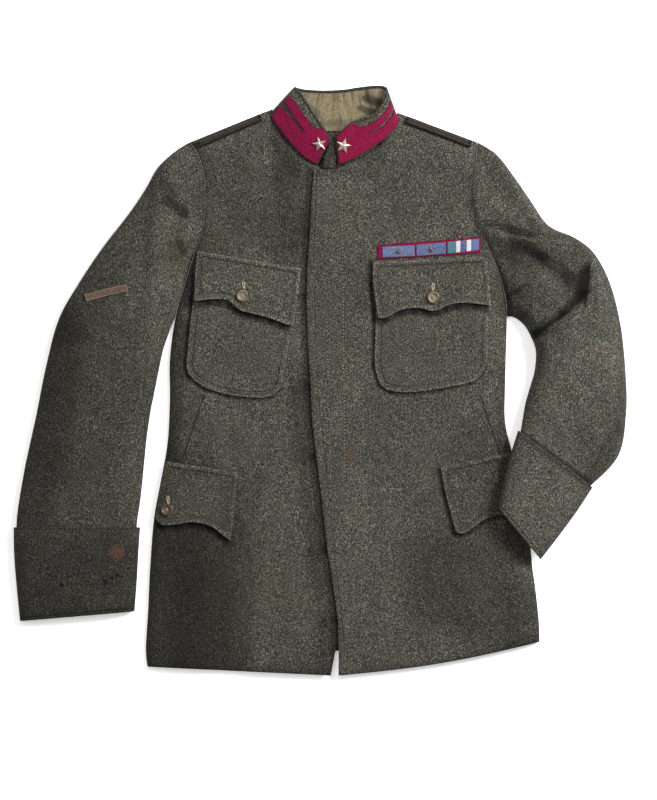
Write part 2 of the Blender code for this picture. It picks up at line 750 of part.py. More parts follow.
def make_body(materials):
    wool = materials["wool"]
    lower = front_grid(SIDE_RIGHT + ARMHOLE_RIGHT, CENTRE_RIGHT, 11, 4, 12, False, 0.0)
    upper = front_grid(SIDE_LEFT + ARMHOLE_LEFT, CENTRE_LEFT, 11, 4, 12, True, 6.0)
    cloth_wall("front_right", lower, WOOL, wool, -1.0, floor=SEAM_LEVEL)
    cloth_wall("front_left", upper, WOOL, wool, 1.0, floor=SEAM_LEVEL)
    back = back_grid(7, 15)
    raised = back + np.array([0.0, 0.0, WOOL])
    wall("back", raised, back, wool)
    return lower, upper


def make_sleeves(materials):
    wool = materials["wool"]
    right = level_stations(SLEEVE_RIGHT)
    carriers = {}
    for side, edges, outwards, stations, folds in (
            ("right", (SIDE_RIGHT, ARMHOLE_RIGHT), -1.0, right, SLEEVE_RIGHT_FOLDS),
            ("left", (SIDE_LEFT, ARMHOLE_LEFT), 1.0, SLEEVE_LEFT, SLEEVE_LEFT_FOLDS)):
        first_row = armhole_row(*edges, outwards, True)
        top = sleeve_grid(first_row, stations, folds, True, 24)
        first_row = armhole_row(*edges, outwards, False)
        under = sleeve_grid(first_row, stations, folds, False, 24)
        cloth_wall(f"sleeve_{side}_upper", top[:, :, :3], WOOL, wool, -outwards,
                   floor=top[:, :, 3])
        cloth_wall(f"sleeve_{side}_under", under[:, :, :3], WOOL, wool, outwards,
                   ceiling=under[:, :, 3])
        carriers[side] = top[:, :, :3]
    for side, stations, inside in (("right", level_stations(CUFF_RIGHT), 1.0),
                                   ("left", CUFF_LEFT, -1.0)):
        ring = cuff_grid(stations, 6)
        cloth_wall(f"cuff_{side}", ring, WOOL, wool, inside, cyclic=True)
    return carriers


def make_collar(materials):
    last = len(COLLAR) - 1
    band = collar_face(0, last, 44, 0.0, 1.0, 5)
    cloth_wall("collar", band, WOOL, materials["wool"], -1.0)

    rows = 26
    middle = np.sin(np.linspace(0.0, math.pi, rows))
    below_seam = 0.02 - 0.22 * np.clip(middle * 2.0 - 1.1, 0.0, 1.0)
    inside = collar_face(*LINING_SPAN, rows, below_seam, 0.9, 5)
    inside_normal = grid_normals(inside, False)
    near = inside - inside_normal * (WOOL + LINING_GAP)
    far = near - inside_normal * COTTON
    wall("collar_lining", far, near, materials["cotton"])

    stars = {}
    rows = 15
    from_end = np.linspace(PATCH_TOP[0][0], PATCH_SPAN, rows)
    highest = straight_between(PATCH_TOP, from_end)
    for side, first, end in (("right", from_end[0], from_end[-1]),
                             ("left", last - from_end[0], last - from_end[-1])):
        face = collar_face(first, end, rows, 0.03, highest, 8)
        away = grid_normals(face, False) * (1.0 if side == "right" else -1.0)
        face_bottom = face + away * SEAT_GAP
        face_top = face_bottom + away * FELT
        keep = np.ones((rows - 1, 7), dtype=bool)
        keep[7:, 3] = False
        wall(f"collar_patch_{side}", face_top, face_bottom, materials["felt"], keep=keep)
        stars[side] = carrier_of(face_top)
    collar_star("star_right", STAR_RIGHT, stars["right"], materials["silver"])
    collar_star("star_left", STAR_LEFT, stars["left"], materials["silver"])


def make_tab(materials):
    """Small tongue that shows between the two ends of the collar."""
    width, length = TAB_SIZE
    x, y, z = TAB_START
    across = np.linspace(-width / 2, width / 2, 3)
    along = np.linspace(0.0, 1.0, 6)
    top = np.array([[(x + step, y + length * share, z + TAB_RISE * share) for step in across]
                    for share in along])
    wall("collar_tab", top, top - np.array([0.0, 0.0, WOOL]), materials["wool"])


def make_trim(materials, lower, upper, sleeve):
    wool = materials["wool"]
    right = carrier_of(lower)
    left = carrier_of(upper)
    for side, carrier, pocket, flap, button in (
            ("right", right, BREAST_POCKET_RIGHT, BREAST_FLAP_RIGHT, BREAST_BUTTON_RIGHT),
            ("left", left, BREAST_POCKET_LEFT, BREAST_FLAP_LEFT, BREAST_BUTTON_LEFT)):
        plan = pocket_plan(pocket, 9, 9)
        laid_on(f"breast_pocket_{side}", plan, carrier, SEAT_GAP, WOOL, wool)
        plan = pocket_plan(flap, 6, 13)
        over_pocket = SEAT_GAP + (WOOL + 0.5) * np.clip(np.linspace(0, 1.6, 6), 0, 1)[:, None]
        top = laid_on(f"breast_flap_{side}", plan, carrier, over_pocket, WOOL, wool)
        turned_button(f"button_breast_{side}", button, carrier_of(top), 0.5, materials["button"])
    for side, carrier, flap, button in (
            ("right", right, LOWER_FLAP_RIGHT, LOWER_BUTTON_RIGHT),
            ("left", left, LOWER_FLAP_LEFT, LOWER_BUTTON_LEFT)):
        plan = pocket_plan(flap, 6, 13)
        top = laid_on(f"lower_flap_{side}", plan, carrier, SEAT_GAP, WOOL, wool)
        turned_button(f"button_lower_{side}", button, carrier_of(top), 0.7, materials["button"])
    for side, carrier, (start, end) in (("right", right, SHOULDER_RIGHT),
                                        ("left", left, SHOULDER_LEFT)):
        start = np.array(start)
        end = np.array(end)
        line = np.array([start, (start + end) / 2, end]) - np.array([0.0, STRAP_WIDTH / 2 + 1.5])
        plan = strip_plan(line, STRAP_WIDTH, 9)
        laid_on(f"shoulder_strap_{side}", plan, carrier, SEAT_GAP + 0.6, STRAP_THICKNESS,
                materials["strap"])
    corners = np.array(RIBBON_CORNERS, dtype=float)
    across = np.linspace(0.0, 1.0, 11)[:, None]
    top_line = corners[0] + (corners[1] - corners[0]) * across
    bottom_line = corners[3] + (corners[2] - corners[3]) * across
    plan = np.array([top_line, (top_line + bottom_line) / 2, bottom_line])
    laid_on("ribbon_bar", plan, left, SEAT_GAP, RIBBON_THICKNESS, materials["ribbon"])
    plan = strip_plan(STRIPE_LINE, STRIPE_WIDTH, 8)
    laid_on("sleeve_stripe", plan, carrier_of(sleeve), SEAT_GAP, STRIPE_THICKNESS,
            materials["braid"])


def main():
    clear_scene()
    materials = make_materials()
    lower, upper = make_body(materials)
    sleeves = make_sleeves(materials)
    make_collar(materials)
    make_tab(materials)
    make_trim(materials, lower, upper, sleeves["right"])


main()
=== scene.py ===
# %% [markdown]
# # A grey-green wool military tunic, laid flat
#
# The tunic lies on its back and is seen from straight above. Nearly everything that shows is one
# thick melange wool, so the work goes into three things: panels that lie on each other at the
# right height, folds that catch the light softly, and a cloth that looks spun from fibres of
# several colours. The small bright things, patches, stars, buttons and ribbons, come last.

import json
import math

import bmesh
import bpy
import numpy as np
from mathutils import Matrix, Vector
from mathutils.bvhtree import BVHTree
from mathutils.kdtree import KDTree

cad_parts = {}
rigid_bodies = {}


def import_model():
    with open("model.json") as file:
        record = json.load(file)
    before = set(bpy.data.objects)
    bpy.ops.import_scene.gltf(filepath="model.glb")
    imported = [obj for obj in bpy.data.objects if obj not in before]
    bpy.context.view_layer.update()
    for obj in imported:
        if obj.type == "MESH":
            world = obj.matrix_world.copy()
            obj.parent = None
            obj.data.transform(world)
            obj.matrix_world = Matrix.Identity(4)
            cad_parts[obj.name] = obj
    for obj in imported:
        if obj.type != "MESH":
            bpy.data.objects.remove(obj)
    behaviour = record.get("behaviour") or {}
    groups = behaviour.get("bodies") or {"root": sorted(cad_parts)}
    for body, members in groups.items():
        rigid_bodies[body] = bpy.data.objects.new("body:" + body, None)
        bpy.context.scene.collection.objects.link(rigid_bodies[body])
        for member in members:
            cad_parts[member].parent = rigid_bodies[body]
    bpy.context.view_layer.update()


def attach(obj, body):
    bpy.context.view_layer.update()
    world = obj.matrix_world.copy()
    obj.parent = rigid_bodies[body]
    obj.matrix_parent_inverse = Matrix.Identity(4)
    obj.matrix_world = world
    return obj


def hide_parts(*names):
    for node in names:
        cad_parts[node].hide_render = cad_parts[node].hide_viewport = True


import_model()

# %% [markdown]
# The model is in metres, but a tailor measures in millimetres. Every table below is in
# millimetres and the mesh maker turns the numbers into metres at the very end. X runs to the
# viewer's right, Y towards the collar and Z away from the table. Right and left in the names are
# the wearer's, so the right sleeve is on the left of the picture.

# %% Cloth and seam sizes
MM = 0.001
WOOL = 2.2
FELT = 1.2
COTTON = 1.0
SEAM_GAP = 0.3
SEAT_GAP = 0.8
SEAM_LEVEL = WOOL + SEAM_GAP
SIDE_ROLL = 30.0
SHOULDER_ROLL = 18.0
SLEEVE_ROLL = 24.0
UNDER_ROLL = 9.0
SLEEVE_SEAM = 0.36
ARMHOLE_SEAM = 4.0
ARMHOLE_LENGTH = 225.0
SLEEVE_SEAM_GAP = 0.5
ARMHOLE_GAP = 0.4
print("wool", WOOL, "mm thick, seams", SEAM_GAP, "mm apart, laid pieces", SEAT_GAP, "mm above their panel")

# %% [markdown]
# The outline of a laid garment is the fold of each side, so the body is described by its side
# lines, its armhole seams and the centre edge of each front. The rows of a side table and of a
# centre table belong together: a straight run of cloth joins them, hem first and shoulder last.

# %% Body tables
LOFT = [(-370, 11.5), (-330, 13.0), (-250, 14.5), (-130, 13.0), (0, 14.0), (120, 15.0),
        (220, 14.5), (300, 13.0), (340, 12.0)]

# Body side, hem to underarm: x, y, height of the edge
SIDE_RIGHT = [
    (-215, -358, 2.5), (-217, -335, 2.5), (-214, -285, 2.5), (-212, -240, 2.5),
    (-207, -175, 2.5), (-199, -130, 2.5), (-190, -80, 2.5), (-187, -25, 2.5), (-187, 25, 2.5),
]
SIDE_LEFT = [
    (275, -327, 2.5), (274, -300, 2.5), (270, -262, 2.5), (265, -225, 2.5),
    (261, -175, 2.5), (253, -131, 2.5), (240, -88, 2.5), (232, -52, 2.5), (232, -8, 2.5),
]

# Armhole seam, underarm to shoulder: x, y, height of the seam
ARMHOLE_RIGHT = [
    (-180, 78, 2.5), (-168, 120, 3.5), (-157, 155, 6.0), (-147, 182, 9.5), (-142, 212, 12.0),
    (-142, 238, 12.5), (-144, 258, 11.5), (-149, 275, 9.0), (-155, 288, 6.0), (-162, 297, 2.8),
]
ARMHOLE_LEFT = [
    (234, 79, 2.5), (231, 108, 3.5), (222, 140, 6.0), (208, 174, 9.5), (198, 201, 12.0),
    (193, 225, 12.5), (193, 244, 11.5), (195, 265, 9.5), (196, 282, 6.0), (197, 297, 2.8),
]

# Centre edge of each front, hem to neck and round the neck to the shoulder: x, y
CENTRE_RIGHT = [
    (14, -369), (19, -342), (31, -298), (36, -255), (38, -198), (38, -142), (38, -82), (38, -25),
    (38, 38), (37, 100), (36, 148), (35, 185), (34, 215), (34, 240), (32, 260), (2, 262),
    (-25.5, 279), (-47.5, 300.5), (-65, 336),
]
CENTRE_LEFT = [
    (24, -369), (24, -340), (23, -300), (18, -262), (10, -212), (3, -150), (-4, -96), (-9, -52),
    (-11, -8), (-15, 62), (-16, 104), (-15, 142), (-12, 182), (-10, 226), (-7, 262), (26, 263),
    (58, 277), (83.5, 293.5), (103, 332),
]
BACK_HEM_RISE = 6.0
BACK_NECK = [(-66, 336), (-55, 327), (-27, 320.5), (3, 318), (32, 318), (61, 320.5), (88, 327),
             (101, 333)]
print("hem", SIDE_LEFT[0][0] - SIDE_RIGHT[0][0], "mm wide between the side folds")

# %% [markdown]
# A wool front never lies dead flat. Each fold is a soft trough or ridge along a line, with its own
# width and depth. The deep ones are also in the packed solids. The finer ones, such as the drag
# lines that fan out from the armholes, are only here.

# %% Folds of the body: x, y to x, y, half width, depth
BODY_FOLDS = [
    (-62, 318, -57, 284, 8, -1.6), (-22, 236, -22, -30, 7, -1.1),
    (-80, -140, -99, -350, 21, -2.6), (-24, -125, -43, -345, 25, 1.6),
    (-150, -215, -165, -350, 20, 1.8), (101, 312, 104, 268, 8, -1.4),
    (126, -190, 116, -330, 22, -2.2), (176, -205, 196, -325, 20, 1.8),
    (-110, 215, -60, 185, 16, 1.2), (110, 222, 170, 205, 16, 1.0), (60, -20, 66, -170, 20, -1.0),
]
FINE_BODY_FOLDS = [
    (-70, -120, -78, -355, 16, 2.0), (-108, -140, -118, -355, 18, -2.2),
    (-140, 236, -100, 200, 8, -1.0), (205, 150, 180, 110, 9, -0.8),
    (-142, 240, -98, 205, 7, -0.7), (-140, 208, -104, 186, 6, -0.6),
    (-61, 312, -50, 180, 7, -1.0), (-88, 270, -72, 215, 12, 0.8), (-170, 20, -150, -95, 9, -0.6),
    (-60, -40, -52, -130, 12, 0.7), (-125, -210, -140, -330, 9, -0.8),
    (-60, -230, -66, -340, 10, -0.8), (10, -150, -4, -330, 10, 0.7), (60, 262, 64, 180, 7, -0.7),
    (100, 270, 96, 200, 12, 0.7), (188, 214, 150, 190, 7, -0.7), (52, 120, 54, -60, 9, -0.5),
    (225, 60, 214, -70, 8, -0.5), (70, -120, 78, -340, 13, 0.9), (152, -215, 160, -340, 9, -0.8),
    (214, -190, 232, -320, 9, -0.9), (46, -230, 42, -350, 8, -0.6),
]
print("folds of the body:", len(BODY_FOLDS + FINE_BODY_FOLDS))

# %% [markdown]
# A sleeve creases across its length where the arm bends and along its length where it is pulled.
# The bent sleeve has the deepest folds of all, a hollow behind the elbow with a sharp ridge round
# it. The straight one has a hook at the armpit.

# %% Folds of the sleeves: x, y to x, y, half width, depth
SLEEVE_RIGHT_FOLDS = [
    (-214, 236, -222, 144, 9, -2.4), (-204, 228, -207, 150, 9, 1.6),
    (-196, 30, -260, 60, 12, -1.6), (-300, 30, -240, -60, 16, 1.4),
]
FINE_SLEEVE_RIGHT_FOLDS = [
    (-172, 176, -186, 146, 8, -2.2), (-180, 150, -214, 120, 9, 1.8),
    (-198, 246, -172, 210, 8, -1.6), (-230, 190, -262, 120, 14, -1.2),
    (-180, 222, -166, 204, 7, -1.2), (-166, 172, -190, 150, 8, -1.3),
    (-176, 128, -214, 96, 8, 1.0), (-190, 96, -232, 84, 6, -0.8), (-300, 118, -262, 96, 9, -0.7),
    (-330, 10, -286, -8, 10, -0.8), (-226, -60, -262, -44, 9, 0.7),
    (-350, -70, -300, -96, 10, 0.8), (-240, -120, -280, -140, 8, -0.7),
]
SLEEVE_LEFT_FOLDS = [
    (212, 182, 300, 181, 9, 3.0), (300, 181, 338, 168, 9, 3.0), (222, 150, 310, 150, 15, -4.0),
    (300, 140, 334, 134, 12, -4.0), (340, 128, 300, 96, 8, 3.0), (300, 90, 272, 52, 8, 2.5),
    (236, 104, 262, 130, 8, -2.0),
]
FINE_SLEEVE_LEFT_FOLDS = [
    (306, 108, 334, 128, 13, -5.5), (252, 66, 288, 58, 10, -4.0), (236, 182, 300, 120, 9, -3.0),
    (232, 206, 330, 174, 11, 2.5), (284, 102, 262, 80, 8, 2.0), (372, 30, 330, 60, 10, -1.6),
    (330, -80, 300, -20, 12, -1.2), (205, 250, 232, 220, 8, -0.9), (244, 232, 276, 204, 9, 0.8),
    (236, 118, 252, 100, 5, -1.2), (318, 112, 292, 78, 5, -1.3), (352, 80, 318, 60, 9, -0.9),
    (350, 10, 300, 20, 11, 0.8), (352, -60, 300, -30, 9, -0.8), (276, -10, 292, -60, 8, -0.7),
]
print("folds of the sleeves:", len(SLEEVE_RIGHT_FOLDS + FINE_SLEEVE_RIGHT_FOLDS),
      len(SLEEVE_LEFT_FOLDS + FINE_SLEEVE_LEFT_FOLDS))

# %% [markdown]
# Where a sleeve is bent, one fold lies over the next and its edge is sharp on one side. Such a lap
# is a line with a steep step on its left hand, seen along the line, and a soft fall behind it.

# %% Laps of the sleeves: the line, how high it stands and how far it falls off behind
SLEEVE_LEFT_LAPS = [
    ([(204, 191), (232, 182), (262, 177), (300, 175), (334, 169)], 3.4, 17.0),
    ([(276, 46), (300, 72), (322, 94), (334, 116), (340, 138)], 5.0, 26.0),
    ([(262, 116), (248, 108), (234, 98)], 2.4, 12.0),
]
SLEEVE_RIGHT_LAPS = [
    ([(-166, 170), (-180, 156), (-196, 149)], 2.4, 12.0),
    ([(-200, 250), (-180, 224), (-160, 206)], 1.6, 12.0),
]
LAP_POINTS = 60
LAP_END = 6.0
print("laps:", len(SLEEVE_LEFT_LAPS), "and", len(SLEEVE_RIGHT_LAPS))

# %% [markdown]
# A sleeve is a flattened tube. One row of its table is one cut across it: the two edges as seen
# from above, how high it stands, how far its two edges are lifted off the table, and how much its
# middle is crowned. The left forearm rests on the body, so its inner edge is lifted more.

# %% Sleeve and cuff tables: outer x, y, inner x, y, height, inner lift, outer lift, crown
SLEEVE_RIGHT = [
    (-181, 285, -184, 70, 14, 0, 0, 0), (-202, 265, -188, 59, 16, 0, 0, 1),
    (-217, 239, -195, 38, 17, 0, 0, 2), (-237, 209, -199, 20, 18, 0, 0, 2),
    (-271, 165, -203, 0, 18, 0, 0, 3), (-301, 120, -207, -20, 18, 0, 0, 3),
    (-326, 75, -211, -40, 18, 0, 0, 3), (-342, 15, -216, -75, 17, 0, 0, 3),
    (-354, -45, -219, -105, 16, 0, 0, 3), (-368, -110, -223, -145, 15, 1.5, 1.5, 2),
    (-377.5, -168, -227.5, -176, 14, 3.0, 3.0, 2), (-378, -197, -229, -197, 14, 3.0, 3.0, 2),
]
CUFF_RIGHT = [
    (-382, -184, -224, -184, 20, 0, 0, 2), (-381.5, -215, -226, -214, 20, 0, 0, 2),
    (-379, -250, -228, -250, 19, 0, 0, 2), (-374, -301, -231, -289, 18, 0, 0, 2),
]
SLEEVE_LEFT = [
    (221, 282, 241, 79, 15, 0, 0, 1), (243, 254, 247, 76, 19, 0, 0, 2),
    (263, 225, 256, 68, 23, 0, 0, 3), (286, 193, 262, 58, 27, 0, 0, 4),
    (318, 178, 267, 47, 30, 0, 0, 4), (343, 158, 270, 37, 32, 0, 0, 4),
    (363, 120, 270, 25, 33, 0, 0, 4), (376, 68, 268, 9, 33, 0, 0, 4),
    (382, 12, 263, -8, 32, 0.5, 0, 4), (383, -40, 257, -29, 30, 2.5, 0.5, 4),
    (373, -95, 253, -51, 24, 10.5, 2.5, 3), (334, -136.5, 249, -72, 19.6, 21, 6, 2),
    (323, -150, 245, -84, 19, 23, 8, 2),
]
CUFF_LEFT = [
    (341, -134, 247.5, -63, 27.7, 15.5, 2.2, 2), (322, -163, 238, -93, 26, 20, 4.8, 2),
    (300, -193, 229, -128, 24, 23, 7, 2), (276, -224, 222, -159, 22, 22, 8, 2),
]
print("highest sleeve:", max(row[4] for row in SLEEVE_LEFT), "mm")

# %% [markdown]
# The stand collar is one band round the neck. In front its outer face is up and it leans inwards
# over the neck hole. At both sides it turns over, and behind the neck it lies on the table with
# its lined inner face up. The table gives the foot and the top of the band at twenty places.

# %% Collar table: foot x, y, z, top x, y, z of the outer face
COLLAR = [
    (-3, 268, 14.5, 14, 300, 22), (-15, 275, 14.2, 7, 312, 24), (-25, 283, 14, -2, 325, 25),
    (-42, 302, 13.5, -13, 342, 25), (-55, 320, 12, -23, 357, 22), (-62, 332, 7, -31, 366, 13),
    (-55, 331, 1.2, -27, 365, 3.5), (-40, 325.5, 0, -16, 363, 0.2), (-15, 321, 0, 0, 362, 0),
    (3, 319, 0, 10, 362, 0), (32, 319, 0, 30, 363, 0), (61, 321.5, 0, 50, 366, 0),
    (82, 326.5, 0, 69, 368, 0.2), (94, 331, 1.2, 81, 367, 3.5), (97, 329.5, 7, 85, 362, 13),
    (95.5, 316.5, 12, 80, 346, 22), (79, 299, 13.5, 67, 331, 25), (57, 284, 14, 52, 326, 25),
    (39, 274, 14.2, 38, 320, 24), (23, 269, 14.5, 20, 303, 22),
]
LINING_SPAN = (5.5, 13.6)
PATCH_SPAN = 4.6
print("collar stations:", len(COLLAR))

# %% [markdown]
# Every pocket and flap has four sides, but only the bottom is a special line, scalloped or
# rounded. So an outline is two short sides and one shaped bottom, and its top is a straight line.
# No two flaps hang quite alike.

# %% Pocket and flap outlines: x, y
BREAST_POCKET_RIGHT = {
    "left": [(-157, 107), (-158, 95), (-162, 60), (-166, 22)],
    "bottom": [(-166, 22), (-162, 6), (-143, -9), (-114, -18), (-81, -22), (-60, -20), (-47, -8)],
    "right": [(-37, 76), (-36, 62), (-41, 30), (-47, -8)],
}
BREAST_POCKET_LEFT = {
    "left": [(70, 87), (70, 75), (69, 20), (76, -6)],
    "bottom": [(76, -6), (90, -14), (119, -15), (154, -10), (188, -3), (203, 8), (209, 22)],
    "right": [(211, 101), (211, 88), (210, 55), (209, 22)],
}
BREAST_FLAP_RIGHT = {
    "left": [(-151, 161), (-154, 130), (-155, 98)],
    "bottom": [(-155, 98), (-138, 100.5), (-124, 101), (-112, 99), (-103, 90), (-96, 86),
               (-88, 84), (-77, 81), (-59, 76), (-46, 71), (-33, 67)],
    "right": [(-23, 139), (-28, 104), (-33, 67)],
}
BREAST_FLAP_LEFT = {
    "left": [(66, 147), (66.5, 120), (73, 77)],
    "bottom": [(73, 77), (83, 78), (102, 87.5), (119, 90), (131, 88.5), (139, 86), (148, 87),
               (158, 92), (174, 96), (196, 95), (213, 92.5)],
    "right": [(208, 154), (211, 124), (213, 92.5)],
}
LOWER_FLAP_RIGHT = {
    "left": [(-190, -102), (-197, -137), (-203, -172)],
    "bottom": [(-203, -172), (-195, -181), (-177, -180), (-157, -177.5), (-136, -182.5),
               (-122, -193), (-111, -201)],
    "right": [(-102, -115), (-106, -158), (-111, -201)],
}
LOWER_FLAP_LEFT = {
    "left": [(151, -109), (157, -140), (170, -190)],
    "bottom": [(170, -190), (178, -192), (188, -187), (203, -176), (220, -169), (238, -168),
               (256, -164)],
    "right": [(236, -91), (248, -130), (256, -164)],
}
FLAPS = (BREAST_FLAP_RIGHT, BREAST_FLAP_LEFT, LOWER_FLAP_RIGHT, LOWER_FLAP_LEFT)
print("points in the scalloped edges:", [len(flap["bottom"]) for flap in FLAPS])

# %% [markdown]
# Curves through a table are read with the Catmull-Rom formula. It passes through every row of
# the table, which keeps the measured outline, and bends smoothly in between.

# %% Curve readers
def smooth_rows(table, positions):
    """Reads a smooth curve through the rows of a table; a position counts rows from 0."""
    table = np.asarray(table, dtype=float)
    positions = np.asarray(positions, dtype=float)
    last = len(table) - 1
    start = np.clip(np.floor(positions).astype(int), 0, last - 1)
    share = (positions - start).reshape((-1,) + (1,) * (table.ndim - 1))
    before = table[np.maximum(start - 1, 0)]
    first = table[start]
    second = table[start + 1]
    after = table[np.minimum(start + 2, last)]
    square = share * share
    cube = square * share
    return 0.5 * (2 * first + (second - before) * share
                  + (2 * before - 5 * first + 4 * second - after) * square
                  + (3 * first - before - 3 * second + after) * cube)


def even_rows(table, count):
    return smooth_rows(table, np.linspace(0, len(table) - 1, count))


def straight_rows(table, positions):
    """Reads straight lines between the rows of a table, for edges that have corners."""
    table = np.asarray(table, dtype=float)
    counts = np.arange(len(table))
    return np.column_stack([np.interp(positions, counts, column) for column in table.T])


def rounded(share):
    """Height of a quarter round: 0 at the edge, 1 from one radius inwards."""
    inwards = 1.0 - np.clip(share, 0.0, 1.0)
    return np.sqrt(1.0 - inwards * inwards)


def eased(share):
    """An S-shaped way from 0 to 1."""
    return share * share * (3.0 - 2.0 * share)


def from_ends(count):
    """Steps from each place in a row to the nearer end of the row."""
    steps = np.arange(count)
    return np.minimum(steps, steps[::-1])


print("half way up a quarter round:", round(float(rounded(0.5)), 3))

# %% [markdown]
# Two kinds of relief are added to a panel. Folds come from the tables. On top of them the cloth
# is faintly uneven from being worn: random heights on a square lattice, joined with an S-shaped
# curve. A fixed seed keeps it the same in every render.

# %% Relief of worn cloth
def fold_height(x, y, folds):
    """Sum of the soft troughs and ridges at the plan points x, y."""
    total = np.zeros(np.broadcast(x, y).shape)
    for x0, y0, x1, y1, half_width, depth in folds:
        run = np.array([x1 - x0, y1 - y0], dtype=float)
        length = np.hypot(*run)
        along = ((x - x0) * run[0] + (y - y0) * run[1]) / length
        across = ((x - x0) * run[1] - (y - y0) * run[0]) / length
        past_end = np.maximum(np.maximum(-along, along - length), 0.0)
        total = total + depth * np.exp(-(across ** 2 + past_end ** 2) / half_width ** 2)
    return total


def lap_height(x, y, laps):
    """Height of folds that lie over their neighbour, with a step on one side only."""
    total = np.zeros(np.shape(x))
    plan = np.stack([x, y], axis=-1)
    for line, height, fall in laps:
        line = even_rows(line, LAP_POINTS)
        run = np.gradient(line, axis=0)
        run = run / np.linalg.norm(run, axis=1, keepdims=True)
        away = plan[..., None, :] - line
        nearest = np.argmin((away ** 2).sum(axis=-1), axis=-1)
        offset = np.take_along_axis(away, nearest[..., None, None], axis=-2)[..., 0, :]
        ahead = run[nearest]
        across = offset[..., 0] * ahead[..., 1] - offset[..., 1] * ahead[..., 0]
        past_end = np.abs(offset[..., 0] * ahead[..., 0] + offset[..., 1] * ahead[..., 1])
        share = np.clip(nearest / (LAP_POINTS - 1), 0.03, 0.97)
        fade = np.sin(math.pi * share) ** 0.6 * np.exp(-(past_end / LAP_END) ** 2)
        rise = eased(np.clip((across + 1.0) / 3.0, 0.0, 1.0))
        behind = np.exp(-(np.maximum(across, 0.0) / fall) ** 2)
        hollow = 0.45 * np.exp(-((across + 4.0) / 6.0) ** 2) * (across < 0.5)
        total = total + height * fade * (rise * behind - hollow)
    return total


def uneven(x, y, size, seed):
    """Smooth random height between -1 and 1 whose bumps are about size millimetres apart."""
    lattice = np.random.default_rng(seed).uniform(-1.0, 1.0, (64, 64))
    u = np.asarray(x, dtype=float) / size + 200.0
    v = np.asarray(y, dtype=float) / size + 200.0
    i = np.floor(u).astype(int)
    j = np.floor(v).astype(int)
    u = eased(u - i)
    v = eased(v - j)
    low = lattice[i % 64, j % 64] * (1 - u) + lattice[(i + 1) % 64, j % 64] * u
    high = lattice[i % 64, (j + 1) % 64] * (1 - u) + lattice[(i + 1) % 64, (j + 1) % 64] * u
    return low * (1 - v) + high * v


def worn(x, y, seed):
    return (0.55 * uneven(x, y, 46.0, seed) + 0.28 * uneven(x, y, 19.0, seed + 1)
            + 0.10 * uneven(x, y, 7.0, seed + 2))


print("unevenness at the middle of the chest:", round(float(worn(0.0, 150.0, 3)), 2), "mm")

# %% [markdown]
# The height of the fronts is a loft, the air and cloth between the front and the table, which
# falls off in a quarter round towards the shoulder seam and towards each side. Where the left
# front lies on the right one it is raised by one thickness of cloth.

# %% Height of the fronts
OVERLAP_FALL = 32.0


def shoulder_line(x):
    """y of the shoulder seam above the plan point x."""
    return np.interp(x, [-202, -65, 100, 237], [281, 336, 333, 282])


def body_height(x, y, seed):
    heights = np.array(LOFT, dtype=float)
    loft = np.interp(y, heights[:, 0], heights[:, 1])
    loft = loft + fold_height(x, y, BODY_FOLDS) + fold_height(x, y, FINE_BODY_FOLDS)
    loft = loft + worn(x, y, seed)
    from_shoulder = (shoulder_line(x) - y) * 0.93
    return SEAM_LEVEL + (loft - SEAM_LEVEL) * rounded(from_shoulder / SHOULDER_ROLL)


def overlap_lift(x, y):
    """How much the left front is raised where it lies on the edge of the right one."""
    edge = np.array(CENTRE_RIGHT[:15], dtype=float)
    lower_edge = np.interp(y, edge[:, 1], edge[:, 0])
    share = np.clip((x - lower_edge - 2.0) / OVERLAP_FALL, 0.0, 1.0)
    return (WOOL + SEAM_GAP + 0.2) * (1.0 - eased(share))


print("height over the chest:", round(float(body_height(0.0, 150.0, 11)), 1), "mm")

# %% [markdown]
# A flattened tube needs its points close together where it turns over the edge. The sleeve's first
# row and the body's armhole use the same places, so the two sides of the seam match point for
# point.

# %% Spacing across a sleeve and along a side
UPPER_CELLS = (12, 44)
UNDER_CELLS = (8, 30)


def section_spacing(width, reach, roll_cells, flat_cells):
    """Distances across a flattened tube and the share of its height reached at each."""
    angle = np.linspace(0.0, math.pi / 2, roll_cells + 1)
    near = reach * (1.0 - np.cos(angle))
    middle = np.linspace(reach, width - reach, flat_cells + 1)[1:-1]
    distance = np.concatenate([near, middle, width - near[::-1]])
    share = np.concatenate([np.sin(angle), np.ones(len(middle)), np.sin(angle[::-1])])
    return distance, share


def side_positions(side_cells, cells):
    """Positions in a side table: even to the underarm, then one for each sleeve column."""
    underarm = len(SIDE_RIGHT)
    shoulder = underarm + len(ARMHOLE_RIGHT) - 1
    if cells == UNDER_CELLS:
        share = section_spacing(ARMHOLE_LENGTH, UNDER_ROLL, *cells)[0] / ARMHOLE_LENGTH
    else:
        share = np.linspace(0.0, 1.0, 2 * cells[0] + cells[1] + 1)
    return np.concatenate([np.linspace(0, underarm, side_cells + 1)[:-1],
                           underarm + (shoulder - underarm) * share])


print("places on the upper sleeve's seam:", 2 * UPPER_CELLS[0] + UPPER_CELLS[1] + 1)

# %% [markdown]
# A front is a grid of points: each row starts at the side fold, rolls up to the loft within a few
# centimetres and runs on to the centre edge. At the neck the cloth reaches a little further and
# dips, because there it goes under the collar.

# %% Front grids
NECK_ROW = 14.6
NECK_WIDTH = 9.0
NECK_REACH = 6.0
NECK_DIVE = 4.5
NECK_FLOOR = 2.5


